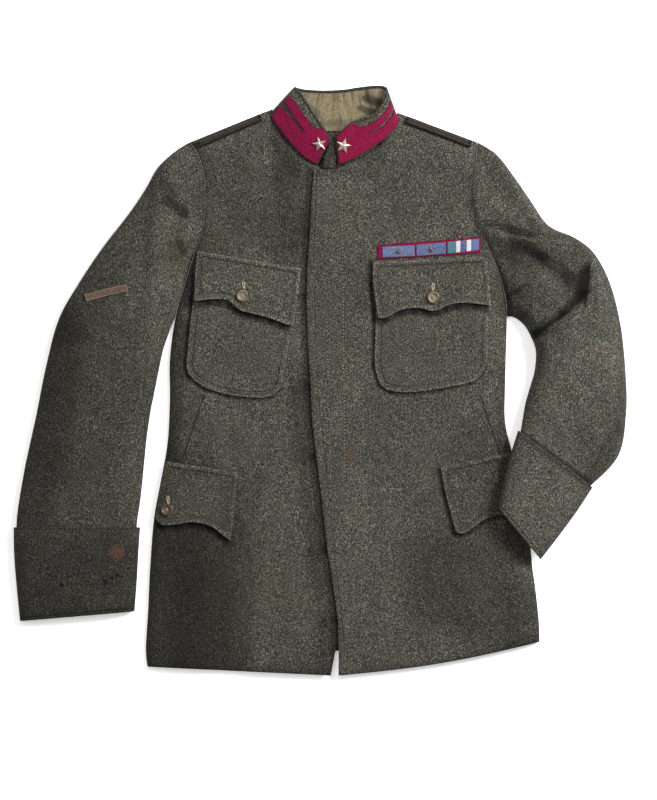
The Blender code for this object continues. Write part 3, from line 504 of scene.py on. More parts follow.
def front_grid(side, centre, side_cells, roll_cells, flat_cells, on_top, hem_bow):
    """Outer face of one front, hem to shoulder by side to centre edge."""
    positions = side_positions(side_cells, UPPER_CELLS)
    side = smooth_rows(side, positions)
    centre = straight_rows(centre, positions)
    near = SIDE_ROLL * (1.0 - np.cos(np.linspace(0.0, math.pi / 2, roll_cells + 1)))
    grid = []
    for edge, middle, position in zip(side, centre, positions):
        run = middle - edge[:2]
        length = np.hypot(*run)
        distance = np.concatenate([near, np.linspace(SIDE_ROLL, length, flat_cells + 1)[1:]])
        x = edge[0] + run[0] * distance / length
        y = edge[1] + run[1] * distance / length
        bow = hem_bow * max(0.0, 1.0 - position / 2.5)
        y = y - bow * np.sin(math.pi * distance / length)
        z = body_height(x, y, 11)
        if on_top:
            z = z + overlap_lift(x, y)
        z = edge[2] + (z - edge[2]) * rounded(distance / SIDE_ROLL)
        under_collar = np.clip(position - NECK_ROW, 0.0, 1.0)
        near_neck = np.clip(1.0 - (length - distance) / NECK_WIDTH, 0.0, 1.0) * under_collar
        x = x + near_neck * NECK_REACH * run[0] / length
        y = y + near_neck * NECK_REACH * run[1] / length
        z = np.maximum(z - near_neck ** 2 * NECK_DIVE, np.minimum(z, NECK_FLOOR))
        grid.append(np.column_stack([x, y, z]))
    return np.array(grid)


front_right_face = front_grid(SIDE_RIGHT + ARMHOLE_RIGHT, CENTRE_RIGHT, 104, 10, 58, False, 0.0)
front_left_face = front_grid(SIDE_LEFT + ARMHOLE_LEFT, CENTRE_LEFT, 104, 10, 60, True, 6.0)
print("front grids:", front_right_face.shape[:2], front_left_face.shape[:2])

# %% [markdown]
# The back is one panel with its outer side on the table. Only a strip of it shows, at the hem and
# behind the neck, but it is a full panel, because other views show the inside and the underside.

# %% Back grid
def back_grid(side_cells, columns):
    positions = side_positions(side_cells, UNDER_CELLS)
    right = smooth_rows(SIDE_RIGHT + ARMHOLE_RIGHT, positions)[:, :2]
    left = smooth_rows(SIDE_LEFT + ARMHOLE_LEFT, positions)[:, :2]
    near_hem = np.clip(1.0 - positions / 1.3, 0.0, 1.0)
    right[:, 1] += BACK_HEM_RISE * near_hem
    left[:, 1] += BACK_HEM_RISE / 2 * near_hem
    outline = np.array([right[-1]] + BACK_NECK + [left[-1]])
    share = np.linspace(0.0, 1.0, columns)[:, None]
    rows = [start + (end - start) * share for start, end in zip(right[:-1], left[:-1])]
    top_x = np.linspace(outline[0, 0], outline[-1, 0], columns)
    rows.append(np.column_stack([top_x, np.interp(top_x, outline[:, 0], outline[:, 1])]))
    plan = np.array(rows)
    return np.dstack([plan, np.zeros(plan.shape[:2])])


back_face = back_grid(70, 90)
print("back grid:", back_face.shape[:2])

# %% [markdown]
# A sleeve is made in the two halves that a tailor cuts. Across each half the points sit closer
# together at the edges, because a roll needs more faces than a flat to look round. The first row
# is the armhole seam itself.

# %% Sleeve grids
def tube_half(station, upper):
    """One row across the upper or the under half of a flattened sleeve: x, y, z, seam level."""
    roll_cells, flat_cells = UPPER_CELLS if upper else UNDER_CELLS
    outer_x, outer_y, inner_x, inner_y, height, inner_lift, outer_lift, crown = station
    width = math.hypot(inner_x - outer_x, inner_y - outer_y)
    reach = SLEEVE_ROLL if upper else UNDER_ROLL
    distance, share = section_spacing(width, reach, roll_cells, flat_cells)
    across = distance / width
    x = outer_x + (inner_x - outer_x) * across
    y = outer_y + (inner_y - outer_y) * across
    lift = outer_lift + (inner_lift - outer_lift) * across
    seam = height * SLEEVE_SEAM
    if upper:
        level = lift + seam + SLEEVE_SEAM_GAP / 2
        z = level + (height - seam) * share
        z = z + crown * np.sin(math.pi * across) * share
    else:
        level = lift + seam - SLEEVE_SEAM_GAP / 2
        z = lift + (level - lift) * (1.0 - share)
    return np.column_stack([x, y, z, level])


def armhole_row(side, armhole, outwards, upper):
    """First row of a sleeve half: the armhole seam, moved off the body."""
    cells = UPPER_CELLS if upper else UNDER_CELLS
    row = smooth_rows(side + armhole, side_positions(1, cells)[:0:-1])
    row[:, 0] += outwards * ARMHOLE_GAP
    level = ARMHOLE_SEAM + SLEEVE_SEAM_GAP / 2 * (1.0 if upper else -1.0)
    if upper:
        row[:, 2] = np.maximum(row[:, 2], level)
    else:
        from_edge = np.minimum(from_ends(len(row)) / cells[0], 1.0)
        row[:, 2] = level * (1.0 - np.sin(math.pi / 2 * from_edge))
    return np.column_stack([row, np.full(len(row), level)])


def sleeve_grid(first_row, stations, folds, laps, upper, rows, seed):
    """Outer face of a sleeve half, armhole to cuff by outer to inner edge."""
    table = [first_row] + [tube_half(station, upper) for station in stations]
    grid = even_rows(np.array(table), rows)
    grid[:, :, 2] = np.maximum(grid[:, :, 2], 0.0)
    if upper:
        near_armhole = np.minimum(np.linspace(0, len(table) - 1, rows), 1.0)
        fade = rounded(from_ends(grid.shape[1]) / UPPER_CELLS[0])[None, :] * near_armhole[:, None]
        x, y = grid[:, :, 0], grid[:, :, 1]
        relief = fold_height(x, y, folds) + lap_height(x, y, laps) + 1.3 * worn(x, y, seed)
        grid[:, :, 2] += relief * fade
    return grid


ARMHOLES = {"right": (SIDE_RIGHT, ARMHOLE_RIGHT, -1.0), "left": (SIDE_LEFT, ARMHOLE_LEFT, 1.0)}
SLEEVES = {
    "right": (SLEEVE_RIGHT, SLEEVE_RIGHT_FOLDS + FINE_SLEEVE_RIGHT_FOLDS, SLEEVE_RIGHT_LAPS, 31),
    "left": (SLEEVE_LEFT, SLEEVE_LEFT_FOLDS + FINE_SLEEVE_LEFT_FOLDS, SLEEVE_LEFT_LAPS, 41),
}
sleeve_faces = {}
for side, (stations, folds, laps, seed) in SLEEVES.items():
    edges, armhole, outwards = ARMHOLES[side]
    for upper in (True, False):
        first_row = armhole_row(edges, armhole, outwards, upper)
        grid = sleeve_grid(first_row, stations, folds, laps, upper, 150 if upper else 90, seed)
        sleeve_faces[side, upper] = grid
        print("sleeve", side, "upper" if upper else "under", grid.shape[:2])

# %% [markdown]
# A turned-back cuff is a closed ring of cloth over the sleeve's end. The ring runs over the top
# and back underneath, so the cuff is open at the hand as the real one is.

# %% Cuff rings
def cuff_grid(stations, rows, seed):
    table = []
    for station in stations:
        top = tube_half(station, True)
        under = tube_half(station, False)
        table.append(np.vstack([top, under[-2:0:-1]])[:, :3])
    ring = even_rows(np.array(table), rows)
    top_count = 2 * UPPER_CELLS[0] + UPPER_CELLS[1] + 1
    across = np.sin(math.pi * np.linspace(0.0, 1.0, top_count))[None, :]
    x, y = ring[:, :top_count, 0], ring[:, :top_count, 1]
    ring[:, :top_count, 2] += 1.2 * worn(x, y, seed) * across
    ring[:, :, 2] = np.maximum(ring[:, :, 2], 0.0)
    return ring


cuff_rings = {"right": cuff_grid(CUFF_RIGHT, 44, 51), "left": cuff_grid(CUFF_LEFT, 40, 61)}
print("cuff rings:", {side: ring.shape[:2] for side, ring in cuff_rings.items()})

# %% [markdown]
# Every cloth piece here is a wall: a grid of points for the face that shows, the same grid moved inwards,
# and a rim that closes the two. Each also keeps, for its material, a UV map in metres that follows the
# cloth and the distance to the nearest cut edge, which the finish uses for its stitching and for lighter
# or darker rims, the paler ones partly wear and partly painted highlight.

# %% Measures of a grid
def grid_normals(grid, cyclic):
    """Unit normals of a grid of points, on the side where rows turn into columns."""
    if cyclic:
        wide = np.concatenate([grid[:, -1:], grid, grid[:, :1]], axis=1)
        along_columns = wide[:, 2:] - wide[:, :-2]
    else:
        along_columns = np.gradient(grid, axis=1)
    along_rows = np.gradient(grid, axis=0)
    normal = np.cross(along_columns, along_rows)
    return normal / np.linalg.norm(normal, axis=2, keepdims=True)


def running_length(points):
    steps = np.linalg.norm(np.diff(points, axis=0), axis=1)
    return np.concatenate([[0.0], np.cumsum(steps)])


def edge_distance(face, rim):
    """Distance in millimetres of every grid point to the cut edge, given as pairs of points."""
    flat = face.reshape(-1, 3)
    starts = np.array([flat[a] for a, b in rim])
    ends = np.array([flat[b] for a, b in rim])
    tree = KDTree(len(starts) * 4)
    for number in range(4):
        share = number / 4
        for index, point in enumerate(starts + (ends - starts) * share):
            tree.insert(Vector(point), index + number * len(starts))
    tree.balance()
    return np.array([tree.find(Vector(point))[2] for point in flat])


print("length of the left front:", round(float(running_length(front_left_face[:, 30])[-1])), "mm")

# %% [markdown]
# One function turns points and faces into an object, with its faces outwards, soft cloth smooth
# and cut edges sharp. A second one rounds those cut edges with a live Bevel modifier.

# %% Objects and cut edges
CUT_ANGLE = 50


def make_object(name, vertices, faces, material, smooth=True):
    mesh = bpy.data.meshes.new(name)
    mesh.from_pydata([tuple(point * MM) for point in np.asarray(vertices, dtype=float)], [], faces)
    work = bmesh.new()
    work.from_mesh(mesh)
    bmesh.ops.recalc_face_normals(work, faces=work.faces)
    work.to_mesh(mesh)
    work.free()
    if smooth:
        mesh.shade_smooth()
        mesh.set_sharp_from_angle(angle=math.radians(CUT_ANGLE))
    made = bpy.data.objects.new(name, mesh)
    made.data.materials.append(material)
    bpy.context.collection.objects.link(made)
    return made


def soften_edges(piece, width):
    """Rounds the cut edges of a piece."""
    bevel = piece.modifiers.new("cut edge", "BEVEL")
    bevel.limit_method = "ANGLE"
    bevel.angle_limit = math.radians(CUT_ANGLE)
    bevel.width = width * MM
    bevel.segments = 2
    bevel.harden_normals = False
    return piece


print("cut edges sharper than", CUT_ANGLE, "degrees are rounded")

# %% [markdown]
# The rim of a wall is found by counting: an edge that two cells share in opposite directions is
# inside, and one that is left over is on the rim. So a wall may have slits, like the felt patches,
# or close into a ring, like the cuffs.

# %% Walls
def wall(name, face, other, material, cyclic=False, keep=None, round_by=0.8):
    """Closed piece between two grids of points; keep marks the cells that exist."""
    rows, columns = face.shape[:2]
    cells = columns if cyclic else columns - 1
    offset = rows * columns
    faces = []
    rim = set()
    for i in range(rows - 1):
        for j in range(cells):
            if keep is not None and not keep[i, j]:
                continue
            a = i * columns + j
            b = i * columns + (j + 1) % columns
            corners = (a, b, b + columns, a + columns)
            faces.append(corners)
            faces.append(tuple(offset + corner for corner in reversed(corners)))
            for start, end in zip(corners, corners[1:] + corners[:1]):
                if (end, start) in rim:
                    rim.remove((end, start))
                else:
                    rim.add((start, end))
    rim = sorted(rim)
    faces += [(end, start, offset + start, offset + end) for start, end in rim]
    from_edge = edge_distance(face, rim)
    middle_column = columns // 2
    down = running_length(face[:, middle_column]) * MM
    over = running_length(face[rows // 2]) * MM
    over = over - over[middle_column]
    cloth_uv = np.dstack(np.meshgrid(over, down)).reshape(-1, 2)

    points = np.concatenate([face.reshape(-1, 3), other.reshape(-1, 3)])
    used = sorted({corner for item in faces for corner in item})
    number = {old: new for new, old in enumerate(used)}
    renumbered = [tuple(number[corner] for corner in item) for item in faces]
    piece = make_object(name, points[used], renumbered, material)
    on_face = np.array(used) % offset
    attribute = piece.data.attributes.new("edge_mm", "FLOAT", "POINT")
    attribute.data.foreach_set("value", from_edge[on_face])
    layer = piece.data.uv_layers.new(name="cloth")
    corner_points = np.zeros(len(piece.data.loops), dtype=int)
    piece.data.loops.foreach_get("vertex_index", corner_points)
    layer.data.foreach_set("uv", cloth_uv[on_face[corner_points]].ravel())
    if round_by:
        soften_edges(piece, round_by)
    return piece


print("walls ready")

# %% [markdown]
# Cloth has one thickness, so its inner face is the outer one moved along its normals. A seam cuts
# the wall off level. An under sleeve steps inwards along its own section, so that its wall can't
# cross itself.

# %% Cloth of even thickness
def section_steps(face):
    """Steps into an under sleeve along its own section: level at its edges, up in its middle."""
    columns = face.shape[1]
    angle = math.pi / 2 * np.minimum(from_ends(columns) / UNDER_CELLS[0], 1.0)
    across = (face[:, -1] - face[:, 0]) * np.array([1.0, 1.0, 0.0])
    across = across / np.linalg.norm(across, axis=1, keepdims=True)
    side = np.where(np.arange(columns) < columns / 2, 1.0, -1.0)
    level = (np.cos(angle) * side)[None, :, None] * across[:, None, :]
    upwards = np.sin(angle)[None, :, None] * np.array([0.0, 0.0, 1.0])
    return WOOL * (level + upwards)


def cloth_wall(name, face, material, inside, cyclic=False, floor=None, ceiling=None):
    """Cloth of even thickness behind a grid of points, cut level where a seam limits it."""
    if ceiling is None:
        other = face + inside * WOOL * grid_normals(face, cyclic)
    else:
        other = face + section_steps(face)
    if floor is not None:
        other[:, :, 2] = np.maximum(other[:, :, 2], np.minimum(face[:, :, 2], floor))
    if ceiling is not None:
        other[:, :, 2] = np.minimum(other[:, :, 2], np.maximum(face[:, :, 2], ceiling))
    return wall(name, face, other, material, cyclic)


print("cloth", WOOL, "mm thick behind every face")

# %% [markdown]
# Pockets, flaps, ribbons and buttons lie on a panel that is already uneven. They are dropped on it
# from above with a ray cast, so they take the panel's form and stay one thin gap above it.

# %% Dropping a point on a panel
def carrier_of(grid):
    """Search tree of a panel's face, which finds what lies below a plan point."""
    rows, columns = grid.shape[:2]
    points = [tuple(point) for point in grid.reshape(-1, 3)]
    corners = [i * columns + j for i in range(rows - 1) for j in range(columns - 1)]
    faces = [(a, a + 1, a + columns + 1, a + columns) for a in corners]
    return BVHTree.FromPolygons(points, faces)


def height_on(carrier, x, y):
    hit = carrier.ray_cast(Vector((x, y, 200.0)), Vector((0.0, 0.0, -1.0)))
    return None if hit[0] is None else hit[0].z


def drop_on(carrier, x, y):
    """Point of the carrier under x, y, or its nearest edge where nothing lies below."""
    height = height_on(carrier, x, y)
    if height is not None:
        return np.array([x, y, height])
    return np.array(carrier.find_nearest(Vector((x, y, SEAM_LEVEL)))[0])


def seat(carrier, x, y, step=2.5):
    """Point on the carrier under x, y and the smoothed direction away from it."""
    place = drop_on(carrier, x, y)
    here = place[2]
    slopes = []
    for dx, dy in ((step, 0.0), (0.0, step)):
        ahead = height_on(carrier, x + dx, y + dy)
        behind = height_on(carrier, x - dx, y - dy)
        ahead = here if ahead is None else ahead
        behind = here if behind is None else behind
        slopes.append((ahead - behind) / (2 * step))
    normal = np.array([-slopes[0], -slopes[1], 1.0])
    return place, normal / np.linalg.norm(normal)


right_carrier = carrier_of(front_right_face)
left_carrier = carrier_of(front_left_face)
print("chest under the ribbons:", round(float(drop_on(left_carrier, 140.0, 160.0)[2]), 1), "mm high")

# %% [markdown]
# A piece that is laid on is a wall between two grids: the panel's points moved out by a gap, and
# moved out further by the piece's own thickness. Only the plan differs from piece to piece.

# %% Thin pieces on a panel
def laid_on(name, plan, carrier, lift, thickness, material, round_by=0.8):
    """Thin piece on a carrier: plan holds x, y; lift is the free space below it."""
    lift = np.broadcast_to(lift, plan.shape[:2])
    thickness = np.broadcast_to(thickness, plan.shape[:2])
    bottom = np.zeros((*plan.shape[:2], 3))
    top = np.zeros_like(bottom)
    for i in range(plan.shape[0]):
        for j in range(plan.shape[1]):
            point, normal = seat(carrier, *plan[i, j])
            bottom[i, j] = point + normal * lift[i, j]
            top[i, j] = point + normal * (lift[i, j] + thickness[i, j])
    return wall(name, top, bottom, material, round_by=round_by), top


def pocket_plan(outline, rows, columns):
    """Fills the area between two sides, a straight top and a shaped bottom line."""
    left = even_rows(outline["left"], rows)
    right = even_rows(outline["right"], rows)
    bottom = even_rows(outline["bottom"], columns)
    share = np.linspace(0.0, 1.0, columns)[:, None]
    chord = bottom[0] + (bottom[-1] - bottom[0]) * share
    plan = []
    for i in range(rows):
        drop = (i / (rows - 1)) ** 1.5
        row = left[i] + (right[i] - left[i]) * share
        plan.append(row + (bottom - chord) * drop)
    return np.array(plan)


def strip_plan(line, width, rows, columns):
    """A band of even width along a plan line."""
    line = even_rows(line, rows)
    run = np.gradient(line, axis=0)
    side = np.column_stack([-run[:, 1], run[:, 0]])
    side = side / np.linalg.norm(side, axis=1, keepdims=True)
    share = np.linspace(-0.5, 0.5, columns)
    return np.array([[point + across * width * step for step in share]
                     for point, across in zip(line, side)])


print("left breast pocket's plan:", pocket_plan(BREAST_POCKET_LEFT, 42, 48).shape[:2], "points")

# %% [markdown]
# A finish in Blender is a tree of nodes, long and hard to read when it is written out link by
# link. One small class wraps a socket and lets Python's own signs make the Math nodes: `1 - mask`
# adds a Subtract node.

# %% Numbers on a wire
class Value:
    """A number on a shader's wire, for use in ordinary sums."""

    def __init__(self, finish, socket):
        self.finish = finish
        self.socket = socket

    def sum(self, operation, first, second=0.0):
        return self.finish.node("Math", {"operation": operation}, {0: first, 1: second})

    def __add__(self, other):
        return self.sum("ADD", self, other)

    __radd__ = __add__

    def __sub__(self, other):
        return self.sum("SUBTRACT", self, other)

    def __rsub__(self, other):
        return self.sum("SUBTRACT", other, self)

    def __mul__(self, other):
        return self.sum("MULTIPLY", self, other)

    __rmul__ = __mul__

    def __pow__(self, other):
        return self.sum("POWER", self, other)

    def size(self):
        return self.sum("ABSOLUTE", self)

    def most(self, other):
        return self.sum("MAXIMUM", self, other)

    def sine(self):
        return self.sum("SINE", self)

    def between(self, low, high):
        """0 below low, 1 above high, and a smooth step from one to the other."""
        return self.finish.node("MapRange", {"interpolation_type": "SMOOTHSTEP"},
                                {0: self, 1: low, 2: high, 3: 0.0, 4: 1.0})


print("signs that add a Math node: + - * **")

# %% [markdown]
# A finish is one material. It offers the few kinds of node that cloth, horn and metal need, and
# places its patterns in millimetres, on Object coordinates or on the cloth's own UV map.

# %% Finishes
class Finish:
    """One material and the tools that make its nodes."""

    def __init__(self, name, roughness=0.9, metallic=0.0, sheen=0.0, coat=0.0, specular=0.5):
        self.material = bpy.data.materials.new(name)
        self.material.use_nodes = True
        self.tree = self.material.node_tree
        self.shader = self.tree.nodes["Principled BSDF"]
        for socket, value in (("Roughness", roughness), ("Metallic", metallic),
                              ("Sheen Weight", sheen), ("Sheen Roughness", 0.6),
                              ("Coat Weight", coat), ("Specular IOR Level", specular)):
            self.shader.inputs[socket].default_value = value

    def node(self, kind, settings=None, sockets=None, output=0):
        made = self.tree.nodes.new("ShaderNode" + kind)
        for key, setting in (settings or {}).items():
            if key == "stops":
                ramp = made.color_ramp
                while len(ramp.elements) < len(setting):
                    ramp.elements.new(1.0)
                for element, (position, colour) in zip(ramp.elements, setting):
                    element.position = position
                    element.color = (*colour, 1.0)
            else:
                setattr(made, key, setting)
        for key, value in (sockets or {}).items():
            if isinstance(value, Value):
                self.tree.links.new(value.socket, made.inputs[key])
            else:
                made.inputs[key].default_value = value
        return Value(self, made.outputs[output])

    def place(self):
        """Object coordinates in millimetres."""
        return self.scaled(self.node("TexCoord", output="Object"), 1 / MM)

    def cloth_place(self):
        """The cloth's own UV map, in millimetres."""
        return self.scaled(self.node("UVMap", {"uv_map": "cloth"}), 1 / MM)

    def axes(self, vector):
        return [self.node("SeparateXYZ", None, {0: vector}, output=k) for k in range(3)]

    def attribute(self, name):
        return self.node("Attribute", {"attribute_name": name}, output="Fac")

    def noise(self, place, size, detail=2.0, rough=0.6, stretch=None, seed=0.0):
        """Noise whose grains are about size millimetres across, mostly between 0.3 and 0.7."""
        if stretch:
            place = self.node("VectorMath", {"operation": "MULTIPLY"}, {0: place, 1: stretch})
        return self.node("TexNoise", {"noise_dimensions": "4D"},
                         {"Vector": place, "W": seed, "Scale": 1.0 / size, "Detail": detail,
                          "Roughness": rough})

    def specks(self, place, size, seed=0.0):
        """Cells of about size millimetres, each with one random number."""
        moved = self.node("VectorMath", {"operation": "ADD"}, {0: place, 1: (seed, seed, seed)})
        colour = self.node("TexVoronoi", None, {"Vector": moved, "Scale": 1.0 / size},
                           output="Color")
        return self.node("SeparateColor", None, {0: colour})

    def ramp(self, value, stops):
        return self.node("ValToRGB", {"stops": stops}, {0: value})

    def mix(self, first, second, share):
        def wire(colour):
            return colour if isinstance(colour, Value) else (*colour, 1.0)
        return self.node("Mix", {"data_type": "RGBA"},
                         {0: share, 6: wire(first), 7: wire(second)}, output=2)

    def scaled(self, colour, value):
        return self.node("VectorMath", {"operation": "SCALE"}, {0: colour, "Scale": value})

    def colour(self, colour):
        self.tree.links.new(colour.socket, self.shader.inputs["Base Color"])

    def roughness(self, value):
        self.tree.links.new(value.socket, self.shader.inputs["Roughness"])

    def bump(self, height_mm, strength=1.0):
        """Relief given in millimetres."""
        normal = self.node("Bump", None,
                           {"Strength": strength, "Distance": MM, "Height": height_mm})
        self.tree.links.new(normal.socket, self.shader.inputs["Normal"])

    def done(self, colour, height_mm, strength):
        """Links the colour and the relief and gives the material."""
        self.colour(colour)
        self.bump(height_mm, strength)
        return self.material


print("tools of a finish:", len([name for name in vars(Finish) if not name.startswith("__")]))

# %% [markdown]
# The cloth is a melange: fibres of several colours are mixed before spinning, so close up it is a
# speckle of near-black, green-grey, brown and cream that adds up to field grey from afar. A
# single noise looks like stone. Here a coarse and a fine noise set how light each spot is, and
# random cells give some spots a hair of another colour. The weave is only a faint relief.

# %% Fibre colours
DARK_FIBRE = (0.007, 0.0075, 0.0065)
GREY_FIBRE = (0.0275, 0.027, 0.0232)
LIGHT_FIBRE = (0.064, 0.061, 0.052)
CREAM_FIBRE = (0.180, 0.163, 0.130)
GREEN_HAIR = (0.026, 0.036, 0.020)
OLIVE_HAIR = (0.060, 0.046, 0.026)
print("brightest fibre:", CREAM_FIBRE, "darkest:", DARK_FIBRE)

# %% [markdown]
# Shade and light are painted into the wool as soft lines in the plan: painted shadow beside every edge
# that lies on the cloth and along the overlap of the fronts, painted shade that makes the skirt darker
# than the chest and darkens the sides and armholes, and painted highlight where a line's darkening is
# below 0. A last number of 1 or -1 keeps only one hand of the line.

# %% Painted shade and light on the fronts: x, y to x, y, width, how much darker
def shadow_beside_edge(table, dx, dy, width, darker):
    """Painted shadow along an outline, beside a piece that lies on the cloth."""
    return [(x0 + dx, y0 + dy, x1 + dx, y1 + dy, width, darker)
            for (x0, y0), (x1, y1) in zip(table[:-1], table[1:])]


# Painted shade on the skirt, the sides, the armholes and beside the overlap, painted highlight where the
# darkening is below 0, then painted shadow beside the pockets and flaps.
FRONT_RIGHT_PAINTED_SHADING = [
    (-188, -140, -178, -360, 92, 0.53), (-170, -60, -190, -140, 60, 0.22),
    (-215, -368, 14, -374, 20, 0.40), (-130, 262, -40, 180, 52, 0.17),
    (-172, 165, -162, 95, 15, 0.45), (-176, 70, -192, -110, 22, 0.30),
    (-140, -140, -146, -362, 66, 0.40), (-104, -185, -108, -350, 26, 0.16),
    (-34, 262, -42, 150, 34, 0.24), (-60, 320, -46, 240, 26, 0.14),
    (-52, 300, -30, 262, 16, 0.30), (-62, -150, -70, -340, 30, -0.10),
] + (shadow_beside_edge(BREAST_POCKET_RIGHT["bottom"], -1.0, -1.6, 5.0, 0.5)
     + shadow_beside_edge(BREAST_POCKET_RIGHT["left"], -1.8, 0.0, 5.0, 0.5)
     + shadow_beside_edge(BREAST_FLAP_RIGHT["left"], -2.0, 0.0, 6.0, 0.5)
     + shadow_beside_edge(LOWER_FLAP_RIGHT["bottom"], -1.0, -2.4, 8.0, 0.6)
     + shadow_beside_edge(CENTRE_LEFT[0:15:2], -3.0, 0.0, 9.0, 0.46)
     + shadow_beside_edge(CENTRE_LEFT[0:9:2], -12.0, 0.0, 22.0, 0.32))
FRONT_LEFT_PAINTED_SHADING = [
    (24, -374, 150, -366, 20, 0.34), (150, -366, 276, -332, 20, 0.34),
    (206, -70, 165, -150, 52, 0.16), (140, -230, 262, -310, 84, 0.36),
    (196, 250, 208, 160, 22, 0.20), (236, 10, 236, -90, 22, 0.32),
    (246, -185, 262, -215, 34, 0.45), (200, 288, 194, 222, 9, 0.45),
    (194, 222, 204, 176, 9, 0.45), (228, 130, 234, 80, 14, 0.40), (104, 268, 100, 200, 22, 0.16),
    (55, 150, 52, 90, 14, 0.18), (40, -120, 46, -330, 30, -0.08),
] + (shadow_beside_edge(BREAST_POCKET_LEFT["bottom"], -1.0, -1.6, 5.0, 0.5)
     + shadow_beside_edge(BREAST_POCKET_LEFT["left"], -1.8, 0.0, 5.0, 0.5)
     + shadow_beside_edge(BREAST_FLAP_LEFT["left"], -2.2, 0.0, 6.5, 0.55)
     + shadow_beside_edge(LOWER_FLAP_LEFT["bottom"], -1.0, -2.0, 6.5, 0.5)
     + shadow_beside_edge(LOWER_FLAP_LEFT["left"], -2.2, 0.0, 6.5, 0.5))
# Painted shadow under the scalloped bottom of each breast flap, on its pocket.
POCKET_PAINTED_SHADOWS = (shadow_beside_edge(BREAST_FLAP_RIGHT["bottom"], -0.8, -3.2, 8.0, 0.62)
                + shadow_beside_edge(BREAST_FLAP_LEFT["bottom"], -0.8, -3.2, 8.0, 0.62))
print("tones on the fronts:", len(FRONT_RIGHT_PAINTED_SHADING), "and", len(FRONT_LEFT_PAINTED_SHADING))

# %% [markdown]
# The bent elbow holds the darkest place of the whole tunic, a hollow under a sharp fold. Its painted
# shadow keeps only one hand of its line, so that it stops at the fold as a real shadow does. The sleeves
# and cuffs are painted darker towards their outer edges too, with a little painted highlight where a
# line's darkening is below 0.

# %% Painted shade and light on the sleeves and cuffs: x, y to x, y, width, how much darker
SLEEVE_RIGHT_PAINTED_SHADING = [
    (-206, 244, -324, 62, 44, 0.30), (-192, 226, -168, 206, 9, 0.52),
    (-166, 176, -160, 192, 8, -0.24), (-176, 172, -170, 160, 7, 0.60),
    (-324, 62, -374, -190, 54, 0.46), (-287, 62, -300, -180, 90, 0.28),
    (-196, 246, -170, 208, 9, 0.42), (-178, 140, -212, 100, 16, -0.16),
    (-190, 60, -222, -120, 14, 0.20),
]
CUFF_RIGHT_PAINTED_SHADE = [
    (-372, -240, -244, -246, 110, 0.52), (-374, -300, -232, -288, 14, 0.25),
]
SLEEVE_LEFT_PAINTED_SHADING = [
    (337, 133, 334, 106, 24, 0.90, 1), (334, 106, 306, 80, 17, 0.84, 1),
    (306, 80, 270, 53, 13, 0.84, 1), (262, 55, 282, 60, 8, 0.72), (310, 128, 322, 118, 16, 0.45),
    (244, 150, 296, 118, 46, 0.20), (208, 196, 262, 181, 7, 0.50), (262, 181, 330, 174, 6, 0.30),
    (243, 168, 282, 152, 9, 0.50), (228, 168, 272, 148, 20, 0.26), (276, 154, 312, 128, 12, 0.55),
    (233, 100, 258, 117, 7, 0.62, -1), (234, 110, 246, 74, 20, 0.46),
    (322, 170, 344, 160, 16, 0.35), (262, 196, 336, 176, 8, 0.30), (319, -25, 340, 30, 60, -0.10),
    (246, -62, 340, -130, 5, 0.60), (260, 240, 224, 268, 26, 0.14),
    (219, 228, 250, 196, 14, -0.25), (352, 160, 384, 50, 13, 0.32), (384, 50, 376, -60, 13, 0.30),
    (376, -60, 330, -140, 16, 0.34),
]
CUFF_LEFT_PAINTED_SHADE = [
    (252, -72, 344, -140, 4, 0.35), (345, -134, 278, -224, 12, 0.30),
]


print("tones on the sleeves:", len(SLEEVE_RIGHT_PAINTED_SHADING), "and", len(SLEEVE_LEFT_PAINTED_SHADING))

# %% [markdown]
# A seam groove, with its painted shade, and a line of painted shade or light are the same thing to the
# finish, a soft line in the plan. A stain, a moth hole and a rust mark are soft round spots. Distances
# give both, so no picture is needed.

# %% Lines and spots
def line_mask(x, y, start, end, width, flat=0.0, side=0):
    """1 on a line between two plan points, 0 at width from it; side 1 keeps only its right hand."""
    run = np.array(end, dtype=float) - np.array(start, dtype=float)
    length = float(np.hypot(*run))
    run = run / length
    from_x = x - float(start[0])
    from_y = y - float(start[1])
    along = from_x * float(run[0]) + from_y * float(run[1])
    across = (from_x * float(run[1]) - from_y * float(run[0])).size()
    past = (along * -1.0).most(along - length).most(0.0)
    mask = 1.0 - (across + past).between(width * flat, width)
    if side:
        signed = (from_x * float(run[1]) - from_y * float(run[0])) * float(side)
        mask = mask * signed.between(-0.9, 1.1)
    return mask


def spot_mask(x, y, centre, radius, soft):
    """1 inside a circle and 0 outside, with a soft edge."""
    from_x = x - float(centre[0])
    from_y = y - float(centre[1])
    distance = (from_x * from_x + from_y * from_y) ** 0.5
    return 1.0 - distance.between(radius - soft, radius + soft)


print("masks: line and spot")
